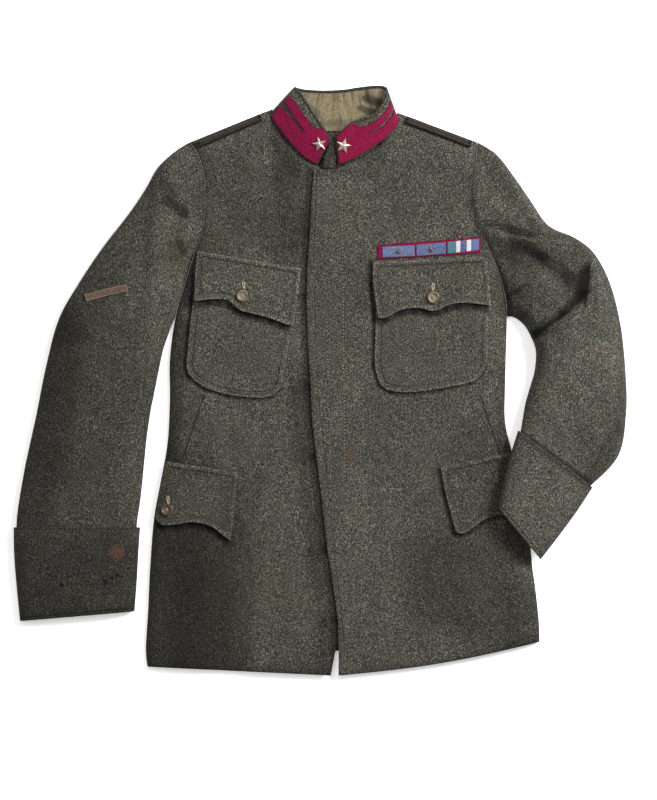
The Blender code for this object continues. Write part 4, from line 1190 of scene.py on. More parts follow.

# %% [markdown]
# The finish is put together in this order: fibres, wide patches of dye, the lines of painted shade and
# light, the rims of the cut edges, the grooves of the stitching with their painted shade, and last the
# stains and holes.

# %% Wool
def wool(name, brightness=1.0, stitch_rows=(), seams=(), dirt=(), holes=(), rust=(), painted_shading=(),
         rim=-0.22):
    """Melange wool; stitch_rows are distances from the edge in mm, brightness and rim are shares, and the
    rest are plan places, among them the lines of painted shade and light.
    """
    finish = Finish(name, roughness=0.95, sheen=0.03, specular=0.12)
    place = finish.place()
    x, y, _ = finish.axes(place)
    over, down, _ = finish.axes(finish.cloth_place())
    edge = finish.attribute("edge_mm")

    coarse = finish.noise(place, 1.45, detail=1.0, rough=0.5)
    fine = finish.noise(place, 0.7, detail=2.0, rough=0.7, seed=3.0)
    hairs = finish.noise(place, 1.2, detail=1.0, stretch=(1.0, 0.45, 0.7), seed=5.0)
    fibre = coarse * 0.56 + fine * 0.12 + hairs * 0.32
    colour = finish.ramp(fibre, [(0.40, DARK_FIBRE), (0.47, GREY_FIBRE), (0.53, LIGHT_FIBRE),
                                 (0.61, CREAM_FIBRE)])
    kind = finish.specks(place, 1.7, seed=11.0)
    colour = finish.mix(colour, GREEN_HAIR, kind.between(0.78, 0.84) * 0.45)
    colour = finish.mix(colour, OLIVE_HAIR, (1.0 - kind.between(0.12, 0.18)) * 0.45)

    blotch = finish.noise(place, 10.0, detail=2.0, seed=7.0)
    colour = finish.mix(colour, GREEN_HAIR, blotch.between(0.52, 0.66) * 0.30)
    colour = finish.mix(colour, OLIVE_HAIR, (1.0 - blotch.between(0.34, 0.48)) * 0.30)
    streaks = finish.noise(place, 26.0, detail=3.0, stretch=(1.0, 0.45, 1.0), seed=13.0)
    broad = finish.noise(place, 75.0, detail=3.0, seed=9.0)
    level = (broad * 0.6 + 0.56) * (streaks * 0.5 + 0.63)
    # Painted shade and light: each line darkens the cloth, or lightens it where its number is below 0.
    for x0, y0, x1, y1, width, darker, *side in painted_shading:
        mask = line_mask(x, y, (x0, y0), (x1, y1), width, 0.35, side[0] if side else 0)
        level = level * (1.0 - mask * darker)
    # Near a cut edge the cloth is scaled by rim: paler where rim is above 0, partly wear and partly
    # painted highlight, and darker where rim is below 0.
    near_cut_edge = 1.0 - edge.between(0.8, 4.2)
    level = level * (1.0 + near_cut_edge * rim) * brightness

    twill = ((over + down) * (2 * math.pi / 1.5)).sine()
    height = fibre * 0.9 + twill * 0.035
    # The grooves of the stitch rows and of the seams are darkened as well as sunk: painted shade in the
    # groove.
    for distance in stitch_rows:
        groove = 1.0 - (edge - distance).size().between(0.2, 1.8)
        level = level * (1.0 - groove * 0.38)
        height = height - groove * 0.8
    for start, end, width, depth in seams:
        groove = line_mask(x, y, start, end, width)
        level = level * (1.0 - groove * depth)
        height = height - groove * 0.6
    colour = finish.scaled(colour, level)
    for centre, radius, soft, strength, stain in dirt:
        mask = spot_mask(x, y, centre, radius, soft) * (broad * 1.6 - 0.1)
        colour = finish.mix(colour, stain, mask * strength)
    for centre, radius in rust:
        mask = spot_mask(x, y, centre, radius, radius * 0.3)
        colour = finish.mix(colour, (0.066, 0.026, 0.016), mask * kind.between(0.0, 0.7))
    for centre, radius in holes:
        mask = spot_mask(x, y, centre, radius, radius * 0.35)
        colour = finish.mix(colour, (0.004, 0.0035, 0.003), mask)
        height = height - mask * 1.2
    return finish.done(colour, height, 0.9)


print("tones under the flaps:", len(POCKET_PAINTED_SHADOWS))

# %% [markdown]
# One cloth, but not one finish: each panel has its own painted shade and light, seams and marks, and some
# are made lighter or darker as a whole; the left cuff is painted lighter for the light that falls on it.
# The rust mark and the moth holes near the wearer's right wrist are the easiest to find.

# %% Wool of each panel
FLY_STITCHES = [((29, 262), (29, 150), 1.6, 0.40), ((29, 150), (32, -120), 1.6, 0.35)]
DART_RIGHT = [((-144, -18), (-170, -95), 2.2, 0.6)]
DART_LEFT = [((200, -20), (226, -95), 2.2, 0.6)]
FRONT_EDGE = [((-4, 255), (-8, 140), 1.6, 0.3), ((-8, 140), (-3, -10), 1.6, 0.3),
              ((-3, -10), (18, -210), 1.6, 0.3), ((18, -210), (32, -340), 1.6, 0.3)]
OLIVE_STAIN = (0.022, 0.018, 0.007)
wool_plain = wool("field grey wool")
wool_shaded = wool("field grey wool, tongue", brightness=0.66, rim=-0.4)
wool_right = wool("field grey wool, right front", seams=DART_RIGHT, painted_shading=FRONT_RIGHT_PAINTED_SHADING,
                  dirt=[((-150, 165), 30, 26, 0.6, OLIVE_STAIN), ((-90, -250), 60, 50, 0.25, OLIVE_STAIN)])
wool_left = wool("field grey wool, left front", seams=DART_LEFT + FLY_STITCHES + FRONT_EDGE,
                 painted_shading=FRONT_LEFT_PAINTED_SHADING, rust=[((38, -92), 4.6)],
                 dirt=[((205, 120), 26, 22, 0.4, OLIVE_STAIN)])
wool_sleeve_right = wool("field grey wool, right sleeve", painted_shading=SLEEVE_RIGHT_PAINTED_SHADING,
                         dirt=[((-176, 160), 22, 20, 0.5, OLIVE_STAIN)])
wool_sleeve_left = wool("field grey wool, left sleeve", painted_shading=SLEEVE_LEFT_PAINTED_SHADING)
# Painted light: the left cuff's wool is made lighter as a whole.
wool_cuff_left = wool("field grey wool, left cuff", brightness=1.06, stitch_rows=(4.0,),
                      painted_shading=CUFF_LEFT_PAINTED_SHADE)
wool_pocket = wool("field grey wool, pockets", brightness=1.0, stitch_rows=(6.8,), rim=0.40,
                   painted_shading=POCKET_PAINTED_SHADOWS)
wool_trim = wool("field grey wool, flaps", brightness=1.02, stitch_rows=(6.8,), rim=0.45)
wool_lower = wool("field grey wool, lower flap", brightness=0.82, stitch_rows=(6.8,), rim=0.45)
wool_cuff_right = wool("field grey wool, right cuff", stitch_rows=(4.0,), painted_shading=CUFF_RIGHT_PAINTED_SHADE,
                       rust=[((-253, -215), 8.5)],
                       holes=[((-268, -252), 2.7), ((-259, -247), 2.0), ((-253, -244), 2.5),
                              ((-322, -256), 2.4), ((-246, -246), 1.4)])
print("wool finishes:", len([m for m in bpy.data.materials if "wool" in m.name]))

# %% [markdown]
# Felt has no weave at all, only short matted fibres. The collar lining is a plain cotton, yellowed where
# it touched the neck, with fine creases up the band. The shade in those creases is painted as dark upright
# streaks, and painted shadow darkens its crumpled end and a few lines along the neck seam.

# %% Felt and cotton
def felt(name):
    finish = Finish(name, roughness=0.95, sheen=0.02, specular=0.06)
    place = finish.place()
    edge = finish.attribute("edge_mm")
    fibre = finish.noise(place, 1.6, detail=3.0, rough=0.7)
    faded = finish.noise(place, 14.0, detail=3.0, seed=2.0)
    colour = finish.ramp(fibre, [(0.32, (0.075, 0.0015, 0.012)), (0.5, (0.135, 0.003, 0.026)),
                                 (0.68, (0.215, 0.010, 0.055))])
    colour = finish.mix(colour, (0.095, 0.006, 0.020), faded.between(0.48, 0.72) * 0.6)
    colour = finish.scaled(colour, 1.0 - (1.0 - edge.between(0.2, 2.2)) * 0.35)
    return finish.done(colour, fibre * 0.5 + faded * 0.6, 0.8)


# Lines of painted shadow and shade on the lining: its crumpled end, the neck seam and one crease.
LINING_PAINTED_SHADE = [
    (58, 352, 76, 346, 9, 0.9), (50, 340, 72, 333, 7, 0.75), (60, 362, 66, 344, 5, 0.6),
    (2, 320, 40, 322, 7, 0.35), (-20, 345, 0, 330, 8, 0.35),
]


def cotton(name):
    finish = Finish(name, roughness=0.85, sheen=0.05, specular=0.3)
    place = finish.place()
    over, down, _ = finish.axes(finish.cloth_place())
    threads = ((over * (2 * math.pi / 0.7)).sine() + (down * (2 * math.pi / 0.7)).sine()) * 0.25
    grain = finish.noise(place, 2.2, detail=3.0)
    soil = finish.noise(place, 16.0, detail=3.0, seed=4.0)
    colour = finish.ramp(grain, [(0.3, (0.105, 0.080, 0.040)), (0.5, (0.185, 0.150, 0.085)),
                                 (0.7, (0.255, 0.215, 0.130))])
    colour = finish.scaled(colour, 0.72)
    colour = finish.mix(colour, (0.060, 0.046, 0.022), soil.between(0.50, 0.70) * 0.45)
    # Painted shade in the fine creases: dark streaks that run up the band.
    crease_shade = finish.noise(finish.cloth_place(), 3.4, detail=2.0, stretch=(0.10, 1.0, 1.0), seed=8.0)
    colour = finish.mix(colour, (0.030, 0.024, 0.012), (1.0 - crease_shade.between(0.30, 0.46)) * 0.6)
    x, y, _ = finish.axes(place)
    for x0, y0, x1, y1, width, darker in LINING_PAINTED_SHADE:
        colour = finish.mix(colour, (0.012, 0.010, 0.005),
                            line_mask(x, y, (x0, y0), (x1, y1), width, 0.2) * darker)
    return finish.done(colour, threads * 0.06 + grain * 0.25, 0.8)


crimson_felt = felt("crimson felt")
lining_cotton = cotton("cream cotton")
print("felt and cotton ready,", len(LINING_PAINTED_SHADE), "tones on the lining")

# %% [markdown]
# The hard parts differ in what covers them. Metal is tarnished in random patches, horn is cloudy and
# rubbed, and sewing thread shows its twist as short light and dark marks.

# %% Metal, horn and thread
def pressed_metal(name, pale, dark, roughness):
    finish = Finish(name, roughness=roughness, metallic=0.75)
    place = finish.place()
    tarnish = finish.noise(place, 3.0, detail=4.0, rough=0.7)
    mask = tarnish.between(0.42, 0.62)
    finish.colour(finish.mix(pale, dark, mask))
    finish.roughness(mask * 0.3 + roughness)
    finish.bump(tarnish * 0.12, 0.6)
    return finish.material


def horn(name, pale, dark):
    finish = Finish(name, roughness=0.5, coat=0.1, specular=0.4)
    place = finish.place()
    cloud = finish.noise(place, 4.5, detail=3.0, rough=0.65)
    rubbed = finish.noise(place, 1.1, detail=2.0, seed=6.0)
    colour = finish.mix(pale, dark, cloud.between(0.38, 0.64))
    finish.colour(finish.mix(colour, dark, rubbed.between(0.58, 0.70) * 0.5))
    finish.roughness(cloud * 0.3 + 0.35)
    finish.bump(rubbed * 0.08, 0.5)
    return finish.material


def thread(name, pale, dark):
    finish = Finish(name, roughness=0.8, sheen=0.1)
    twist = finish.noise(finish.place(), 1.2, detail=2.0)
    return finish.done(finish.mix(dark, pale, twist.between(0.35, 0.65)), twist * 0.15, 0.6)


star_metal = pressed_metal("white metal", (0.46, 0.41, 0.34), (0.17, 0.14, 0.11), 0.38)
bronze = pressed_metal("bronze", (0.30, 0.18, 0.10), (0.08, 0.05, 0.03), 0.4)
horn_pale = horn("pale horn", (0.150, 0.112, 0.060), (0.052, 0.036, 0.019))
horn_brown = horn("brown horn", (0.060, 0.034, 0.018), (0.026, 0.015, 0.009))
thread_grey = thread("grey sewing thread", (0.115, 0.105, 0.082), (0.030, 0.029, 0.023))
thread_cream = thread("cream sewing thread", (0.30, 0.255, 0.165), (0.15, 0.12, 0.075))
print("finishes in all:", len(bpy.data.materials))

# %% [markdown]
# The camera looks straight down, like a copy stand. The picture frame is one metre high on the
# table. A long lens from eight metres keeps the thick sleeve from looking bigger than the hem.

# %% Camera, light and table
FRAME_CENTRE = (0.01125, -0.025)
FRAME_HEIGHT = 1.0
CAMERA_HEIGHT = 8.0


def make_camera():
    lens = bpy.data.cameras.new("copy stand camera")
    lens.sensor_fit = "VERTICAL"
    lens.sensor_height = 24.0
    lens.lens = lens.sensor_height * CAMERA_HEIGHT / FRAME_HEIGHT
    lens.clip_end = 20.0
    camera = bpy.data.objects.new("copy stand camera", lens)
    camera.location = (*FRAME_CENTRE, CAMERA_HEIGHT)
    bpy.context.collection.objects.link(camera)
    bpy.context.scene.camera = camera


def area_light(name, place, target, size, power):
    lamp = bpy.data.lights.new(name, "AREA")
    lamp.shape = "DISK"
    lamp.size = size
    lamp.energy = power
    holder = bpy.data.objects.new(name, lamp)
    holder.location = place
    aim = Vector(target) - Vector(place)
    holder.rotation_euler = aim.to_track_quat("-Z", "Y").to_euler()
    bpy.context.collection.objects.link(holder)


def make_table():
    half = 6.0
    mesh = bpy.data.meshes.new("table")
    corners = [(-half, -half, -0.0003), (half, -half, -0.0003), (half, half, -0.0003),
               (-half, half, -0.0003)]
    mesh.from_pydata(corners, [], [(0, 1, 2, 3)])
    table = bpy.data.objects.new("table", mesh)
    bpy.context.collection.objects.link(table)
    paper = Finish("white paper", roughness=0.9, specular=0.1)
    grain = paper.noise(paper.place(), 2.5, detail=3.0)
    paper.colour(paper.ramp(grain, [(0.3, (0.90, 0.90, 0.895)), (0.7, (0.93, 0.93, 0.925))]))
    paper.shader.inputs["Emission Color"].default_value = (1.0, 1.0, 1.0, 1.0)
    paper.shader.inputs["Emission Strength"].default_value = 0.30
    mesh.materials.append(paper.material)


make_camera()
make_table()
area_light("soft box, upper right", (2.3, 1.5, 2.2), (0.0, 0.0, 0.0), 1.7, 250.0)
area_light("soft box, overhead", (-0.5, 0.6, 3.4), (0.0, 0.0, 0.0), 2.4, 50.0)
world = bpy.data.worlds.new("studio")
world.use_nodes = True
world.node_tree.nodes["Background"].inputs[0].default_value = (1.0, 1.0, 1.0, 1.0)
world.node_tree.nodes["Background"].inputs[1].default_value = 0.38
bpy.context.scene.world = world
bpy.context.scene.view_settings.view_transform = "Standard"
print("camera", CAMERA_HEIGHT, "m above the table, frame", FRAME_HEIGHT, "m high")

# %% [markdown]
# Now the cloth is cut and laid, largest pieces first. Each new piece rides on the packed body and
# stands in for its plain solid there.

# %% Fronts and back
def dress(piece, *nodes, slot="wool"):
    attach(piece, "root")
    if nodes:
        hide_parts(*nodes)
    return piece


def cloth_area(grid):
    """Area of a grid of points, in square metres."""
    a, b, c, d = grid[:-1, :-1], grid[:-1, 1:], grid[1:, 1:], grid[1:, :-1]
    doubled = np.linalg.norm(np.cross(c - a, d - b), axis=2)
    return float(doubled.sum()) / 2 * MM * MM


def cut_from(grid):
    """Works out the flat area of a cloth piece, in square metres, and keeps nothing of it."""
    cloth_area(grid)


dress(cloth_wall("front_right_cloth", front_right_face, wool_right, -1.0, floor=SEAM_LEVEL),
      "front_right")
dress(cloth_wall("front_left_cloth", front_left_face, wool_left, 1.0, floor=SEAM_LEVEL),
      "front_left")
dress(wall("back_cloth", back_face + np.array([0.0, 0.0, WOOL]), back_face, wool_plain), "back")
cut_from(front_right_face)
cut_from(front_left_face)
cut_from(back_face)

# %% [markdown]
# A sleeve is two walls that meet along both folds, and a cuff is a ring round their end. The upper
# sleeve is cut off level above its seam and the under sleeve below it, so the two never overlap.

# %% Sleeves and cuffs
for side, (_, _, outwards) in ARMHOLES.items():
    top = sleeve_faces[side, True]
    under = sleeve_faces[side, False]
    finish = wool_sleeve_right if side == "right" else wool_sleeve_left
    dress(cloth_wall(f"sleeve_{side}_upper_cloth", top[:, :, :3], finish, -outwards,
                     floor=top[:, :, 3]), f"sleeve_{side}_upper")
    dress(cloth_wall(f"sleeve_{side}_under_cloth", under[:, :, :3], wool_plain, outwards,
                     ceiling=under[:, :, 3]), f"sleeve_{side}_under")
    cut_from(top[:, :, :3])
    cut_from(under[:, :, :3])
for side, inside, finish in (("right", 1.0, wool_cuff_right), ("left", -1.0, wool_cuff_left)):
    ring = cuff_rings[side]
    dress(cloth_wall(f"cuff_{side}_cloth", ring, finish, inside, cyclic=True), f"cuff_{side}")
    cut_from(np.concatenate([ring, ring[:, :1]], axis=1))

# %% [markdown]
# The collar band is cut from the same wool. Its lining is a thinner cotton that has crept into
# fine upright creases, because the band turns over its own edge there.

# %% Collar and lining
def collar_face(first, last, rows, lowest, highest, columns, bulge):
    """Outer face of the collar band between two stations and two shares of its height."""
    table = smooth_rows(COLLAR, np.linspace(first, last, rows))
    share = np.linspace(0.0, 1.0, columns)
    lowest = np.broadcast_to(lowest, rows)
    highest = np.broadcast_to(highest, rows)
    grid = []
    for row, low, high in zip(table, lowest, highest):
        place = low + (high - low) * share
        points = row[:3] + (row[3:] - row[:3]) * place[:, None]
        points[:, 2] += bulge * np.sin(math.pi * np.clip(place, 0, 1)) * min(1.0, row[5] / 20.0)
        points[:, 2] = np.maximum(points[:, 2], 0.0)
        grid.append(points)
    return np.array(grid)


wool_collar = wool("field grey wool, collar", brightness=1.08, stitch_rows=(3.0,))
last_station = len(COLLAR) - 1
collar_band = collar_face(0, last_station, 220, 0.0, 1.0, 18, 1.5)
dress(cloth_wall("collar_cloth", collar_band, wool_collar, -1.0), "collar")
cut_from(collar_band)

lining_rows = 150
middle = np.sin(np.linspace(0.0, math.pi, lining_rows))
below_seam = 0.02 - 0.22 * np.clip(middle * 2.0 - 1.1, 0.0, 1.0)
lining_back = collar_face(*LINING_SPAN, lining_rows, below_seam, 0.9, 22, 1.5)
lining_normal = grid_normals(lining_back, False)
near_wool = lining_back - lining_normal * (WOOL + 0.4)
along = np.linspace(0.0, 150.0, lining_rows)[:, None]
up = np.linspace(0.0, 40.0, 22)[None, :]
creases = np.abs(uneven(along, up * 0.12, 5.0, 71)) * 1.7 + 0.4 * uneven(along, up, 3.4, 72)
creases = np.clip(creases, 0.0, 1.6)[:, :, None]
lining_front = near_wool - lining_normal * (COTTON + creases)
dress(wall("collar_lining_cotton", lining_front, near_wool, lining_cotton, round_by=0.3),
      "collar_lining", slot="cotton")
cut_from(near_wool)

# %% [markdown]
# Each end of the collar carries a crimson felt patch. It is full height at the front and then
# runs back in two tails with a slit between them. The stars are low pyramids with five points,
# raised to a ridge along each arm.

# %% Collar patches and stars
PATCH_TOP = [(0.12, 0.97), (1.2, 0.97), (1.9, 0.76), (4.6, 0.74)]
STARS = {"right": (0, 294, 9.6, 12.0), "left": (30, 292, 10.2, -14.0)}
STAR_HEIGHT = 2.2


def collar_star(name, place, carrier, material):
    """Five-pointed star: a flat foot, a thin edge and raised facets, turned by some degrees."""
    x, y, radius, turned = place
    point, normal = seat(carrier, x, y)
    turn = Vector((0.0, 0.0, 1.0)).rotation_difference(Vector(normal)).to_matrix()
    centre = Vector(point + normal * SEAT_GAP)
    vertices = []
    for level in (0.0, 0.6):
        for step in range(10):
            reach = radius if step % 2 == 0 else radius * 0.42
            angle = math.radians(90 + turned) + math.pi * step / 5
            local = Vector((reach * math.cos(angle), reach * math.sin(angle), level))
            vertices.append(centre + turn @ local)
    vertices.append(centre)
    vertices.append(centre + turn @ Vector((0.0, 0.0, STAR_HEIGHT)))
    faces = []
    for step in range(10):
        after = (step + 1) % 10
        faces += [(step, after, after + 10, step + 10), (after, step, 20),
                  (step + 10, after + 10, 21)]
    star = make_object(name, [tuple(vertex) for vertex in vertices], faces, material, smooth=False)
    return soften_edges(star, 0.25)


patch_rows, patch_columns = 72, 30
from_end = np.linspace(PATCH_TOP[0][0], PATCH_SPAN, patch_rows)
patch_top = np.interp(from_end, *np.array(PATCH_TOP).T)
keep = np.ones((patch_rows - 1, patch_columns - 1), dtype=bool)
keep[patch_rows // 2:, 17:19] = False
keep[patch_rows * 2 // 3:, 16:19] = False
keep[patch_rows * 5 // 6:, 15:20] = False
for side, stations in (("right", from_end), ("left", last_station - from_end)):
    face = collar_face(stations[0], stations[-1], patch_rows, 0.03, patch_top, patch_columns, 1.5)
    away = grid_normals(face, False) * (1.0 if side == "right" else -1.0)
    bottom = face + away * SEAT_GAP
    thickness = FELT + 0.35 * uneven(face[:, :, 0], face[:, :, 1], 9.0, 81)[:, :, None]
    top = bottom + away * thickness
    dress(wall(f"collar_patch_{side}_felt", top, bottom, crimson_felt, keep=keep, round_by=0.4),
          f"collar_patch_{side}", slot="felt")
    cut_from(top)
    dress(collar_star(f"star_{side}_metal", STARS[side], carrier_of(top), star_metal),
          f"star_{side}", slot="silver")

# %% [markdown]
# A small tongue of the same cloth closes the gap between the two ends of the collar. It lies in
# shadow there, so it has the darker of the wool finishes.

# %% Small tongue between the collar's ends
def make_tab():
    length, rise = 42.0, 3.0
    y, z = 263.9, 15.4
    shape = np.array([(0.0, 12.0, 15.0), (0.3, 13.0, 16.0), (0.62, 15.5, 10.5), (0.8, 17.0, 11.0),
                      (1.0, 18.0, 14.0)])
    across = np.linspace(-0.5, 0.5, 9)
    steps = np.linspace(0.0, 1.0, 22)
    middle = np.interp(steps, shape[:, 0], shape[:, 1])
    width = np.interp(steps, shape[:, 0], shape[:, 2])
    top = np.array([[(x + step * wide, y + length * share, z + rise * share - 1.0 * step ** 2)
                     for step in across] for share, x, wide in zip(steps, middle, width)])
    dress(wall("collar_tab_cloth", top, top - np.array([0.0, 0.0, WOOL]), wool_shaded, round_by=0.6),
          "collar_tab")
    cut_from(top)


make_tab()

# %% [markdown]
# Patch pockets and scalloped flaps are cut from the same cloth, turned in at the edge and topstitched.
# Their rims are paler, partly from wear and partly a painted highlight, and each breast pocket has a
# painted shadow under its flap. Near the top of a flap the seam allowance makes a soft ridge, and its
# button pulls it down.

# %% Pockets and flaps
def flap_relief(plan, button, ridge):
    """Own relief of a flap: the ridge of its top seam and the pull towards its button."""
    rows = plan.shape[0]
    down = np.linspace(0.0, 1.0, rows)[:, None] * np.ones(plan.shape[1])[None, :]
    from_button = np.hypot(plan[:, :, 0] - button[0], plan[:, :, 1] - button[1])
    swell = ridge * np.exp(-((down - 0.085) / 0.05) ** 2)
    return swell - 0.9 * np.exp(-(from_button / 13.0) ** 2) + 0.5 * np.sin(math.pi * down)


CHEST = (("right", right_carrier, BREAST_POCKET_RIGHT, BREAST_FLAP_RIGHT, (-96, 105)),
         ("left", left_carrier, BREAST_POCKET_LEFT, BREAST_FLAP_LEFT, (142, 103)))
FLAP_CURL = 2.2
flap_tops = {}
pocket_tops = {}
for side, carrier, pocket, flap, button in CHEST:
    plan = pocket_plan(pocket, 42, 48)
    sag = 0.5 * uneven(plan[:, :, 0], plan[:, :, 1], 33.0, 91)
    name = f"breast_pocket_{side}_cloth"
    piece, pocket_tops[side] = laid_on(name, plan, carrier, SEAT_GAP, WOOL + sag, wool_pocket)
    dress(piece, f"breast_pocket_{side}")
    cut_from(pocket_tops[side])
    plan = pocket_plan(flap, 30, 60)
    down = np.linspace(0.0, 1.0, 30)[:, None]
    over_pocket = SEAT_GAP + (WOOL + 0.5) * np.clip(down * 1.6, 0, 1) + FLAP_CURL * down ** 5
    name = f"breast_flap_{side}_cloth"
    piece, flap_tops[side] = laid_on(name, plan, carrier, over_pocket,
                                     WOOL + flap_relief(plan, button, 0.9), wool_trim)
    dress(piece, f"breast_flap_{side}")
    cut_from(flap_tops[side])
SKIRT = (("right", right_carrier, LOWER_FLAP_RIGHT, (-190, -162)),
         ("left", left_carrier, LOWER_FLAP_LEFT, (242, -140)))
for side, carrier, flap, button in SKIRT:
    plan = pocket_plan(flap, 36, 50)
    name = f"lower_flap_{side}_cloth"
    lift = SEAT_GAP + FLAP_CURL * np.linspace(0.0, 1.0, 36)[:, None] ** 5
    piece, top = laid_on(name, plan, carrier, lift, WOOL + flap_relief(plan, button, 0.7),
                         wool_lower)
    flap_tops["lower " + side] = top
    dress(piece, f"lower_flap_{side}")
    cut_from(top)

# %% [markdown]
# The shoulder loops are a pair of dark piped cords side by side. The braid on the sleeve is a flat
# rust-brown strip with a pale thread at each edge. Both are bands along a line, with a thickness
# that changes across the band.

# %% Shoulder cords and sleeve braid
def cord_finish():
    finish = Finish("dark piped cord", roughness=0.9, sheen=0.0, specular=0.08)
    place = finish.place()
    over, down, _ = finish.axes(finish.cloth_place())
    twist = ((down * 1.6 + over * 0.9) * (2 * math.pi / 2.6)).sine()
    edge = finish.attribute("edge_mm")
    fluff = finish.noise(place, 1.6, detail=3.0)
    colour = finish.ramp(fluff, [(0.32, (0.005, 0.004, 0.004)), (0.52, (0.012, 0.009, 0.008)),
                                 (0.7, (0.034, 0.026, 0.021))])
    valley = edge.between(2.6, 3.6) * fluff.between(0.30, 0.50)
    colour = finish.mix(colour, (0.052, 0.043, 0.036), valley * 0.6)
    return finish.done(finish.scaled(colour, twist * 0.2 + 0.95), twist * 0.25 + fluff * 0.3, 0.8)


def braid_finish():
    finish = Finish("rust brown braid", roughness=0.85, sheen=0.1, specular=0.3)
    place = finish.place()
    over, down, _ = finish.axes(finish.cloth_place())
    edge = finish.attribute("edge_mm")
    ribs = ((down + over.size() * 0.5) * (2 * math.pi / 1.8)).sine()
    fluff = finish.noise(place, 1.5, detail=3.0)
    colour = finish.ramp(fluff, [(0.33, (0.030, 0.017, 0.011)), (0.5, (0.062, 0.036, 0.023)),
                                 (0.68, (0.125, 0.078, 0.050))])
    pale = (1.0 - (edge - 0.9).size().between(0.1, 0.7)) * fluff.between(0.40, 0.55)
    colour = finish.mix(colour, (0.20, 0.17, 0.12), pale * 0.6)
    return finish.done(finish.scaled(colour, ribs * 0.12 + 1.0), ribs * 0.2 + fluff * 0.3, 0.8)


piped_cord = cord_finish()
rust_braid = braid_finish()
SHOULDERS = (("right", right_carrier, (-150.5, 298.8), (-72.5, 332.1)),
             ("left", left_carrier, (188.0, 298.8), (107.5, 329.4)))
for side, carrier, start, end in SHOULDERS:
    start = np.array(start)
    end = np.array(end)
    line = np.array([start, (start + end) / 2, end]) - np.array([0.0, 5.6])
    plan = strip_plan(line, 8.4, 60, 19)
    across = np.linspace(0.0, 1.0, 19)
    bead = np.abs(np.sin(2 * math.pi * across)) ** 0.6
    ends = 1.0 + 0.5 * np.exp(-(np.linspace(0, 1, 60) / 0.09) ** 2)
    profile = 0.7 + 1.9 * bead[None, :] * ends[:, None]
    piece, _ = laid_on(f"shoulder_strap_{side}_cord", plan, carrier, SEAT_GAP + 0.6, profile,
                       piped_cord, round_by=0.3)
    dress(piece, f"shoulder_strap_{side}", slot="strap")

braid_plan = strip_plan([(-292, 102), (-266, 109), (-239, 115)], 9.0, 50, 11)
piece, braid_top = laid_on("sleeve_stripe_braid", braid_plan,
                           carrier_of(sleeve_faces["right", True][:, :, :3]), SEAT_GAP, 1.4,
                           rust_braid, round_by=0.3)
dress(piece, "sleeve_stripe", slot="braid")
cut_from(braid_top)
print("cords 8.4 mm wide, braid 9 mm wide")

# %% [markdown]
# The ribbon bar is a strip of crimson cloth with three short ribbons of ribbed silk sewn on it,
# two blue ones and one with two white stripes. The stripes come from the ribbon's own UV map, so
# they stay square to its edges.

# %% Ribbon bar
RIBBON_BACK = [(72.5, 168), (201, 178), (201, 158.5), (73, 150.3)]
RIBBONS = {
    "blue": [(78.4, 166.0), (118.6, 168.0), (118.8, 154.6), (78.6, 153.0)],
    "middle_blue": [(121.0, 168.6), (157.2, 171.8), (157.4, 157.4), (121.1, 154.6)],
    "striped": [(159.6, 172.0), (199.0, 176.2), (198.6, 162.0), (159.7, 157.6)],
}


def corner_plan(corners, rows, columns):
    """Grid of plan points between four corners: top left, top right, bottom right, bottom left."""
    corners = np.array(corners, dtype=float)
    across = np.linspace(0.0, 1.0, columns)[:, None]
    top = corners[0] + (corners[1] - corners[0]) * across
    bottom = corners[3] + (corners[2] - corners[3]) * across
    down = np.linspace(0.0, 1.0, rows)[:, None, None]
    return top[None] + (bottom - top)[None] * down


def ribbon_finish(name, blue, stripes=()):
    """Ribbed silk; stripes are (centre, half width, colour) in mm across from the middle."""
    finish = Finish(name, roughness=0.75, sheen=0.0, specular=0.15)
    place = finish.place()
    over, down, _ = finish.axes(finish.cloth_place())
    ribs = (down * (2 * math.pi / 0.9)).sine()
    faded = finish.noise(place, 2.0, detail=2.0)
    wide = finish.noise(place, 7.0, detail=2.0, seed=3.0)
    pale = tuple(0.45 * channel + 0.09 for channel in blue)
    dark = tuple(0.40 * channel for channel in blue)
    colour = finish.ramp(faded, [(0.34, dark), (0.5, blue), (0.64, pale)])
    colour = finish.mix(colour, (0.095, 0.080, 0.110), wide.between(0.48, 0.62) * 0.5)
    for centre, half_width, stripe in stripes:
        mask = 1.0 - (over - centre).size().between(half_width - 0.25, half_width + 0.25)
        worn_stripe = finish.scaled(finish.mix(stripe, stripe, 0.0), faded * 0.7 + 0.65)
        colour = finish.mix(colour, worn_stripe, mask)
    return finish.done(colour, ribs * 0.08 + faded * 0.2, 0.8)


print("ribbon backing", RIBBON_BACK[1][0] - RIBBON_BACK[0][0], "mm long")

# %% [markdown]
# Each ribbon is laid on the backing and not on the wool, so it takes the slope of the strip below
# it. Two of them carry a small plain device, which is the collar star at another size.

# %% Ribbons on their backing
WHITE = (0.40, 0.36, 0.33)
ribbon_finishes = {
    "blue": ribbon_finish("blue ribbed silk", (0.070, 0.105, 0.215)),
    "middle_blue": ribbon_finish("blue ribbed silk, darker", (0.050, 0.085, 0.195)),
    "striped": ribbon_finish("striped ribbed silk", (0.035, 0.055, 0.165),
                             [(-14.5, 5.2, (0.040, 0.110, 0.130)), (-6.6, 2.6, WHITE),
                              (6.8, 2.8, WHITE), (15.5, 4.6, (0.055, 0.090, 0.185))]),
}
plan = corner_plan(RIBBON_BACK, 14, 60)
lift = SEAT_GAP + 0.15 * uneven(plan[:, :, 0], plan[:, :, 1], 8.0, 95)
piece, backing_top = laid_on("ribbon_backing", plan, left_carrier, lift, 1.0, crimson_felt,
                             round_by=0.3)
dress(piece, "ribbon_bar", slot="felt")
cut_from(backing_top)
backing_carrier = carrier_of(backing_top)
ribbon_tops = {}
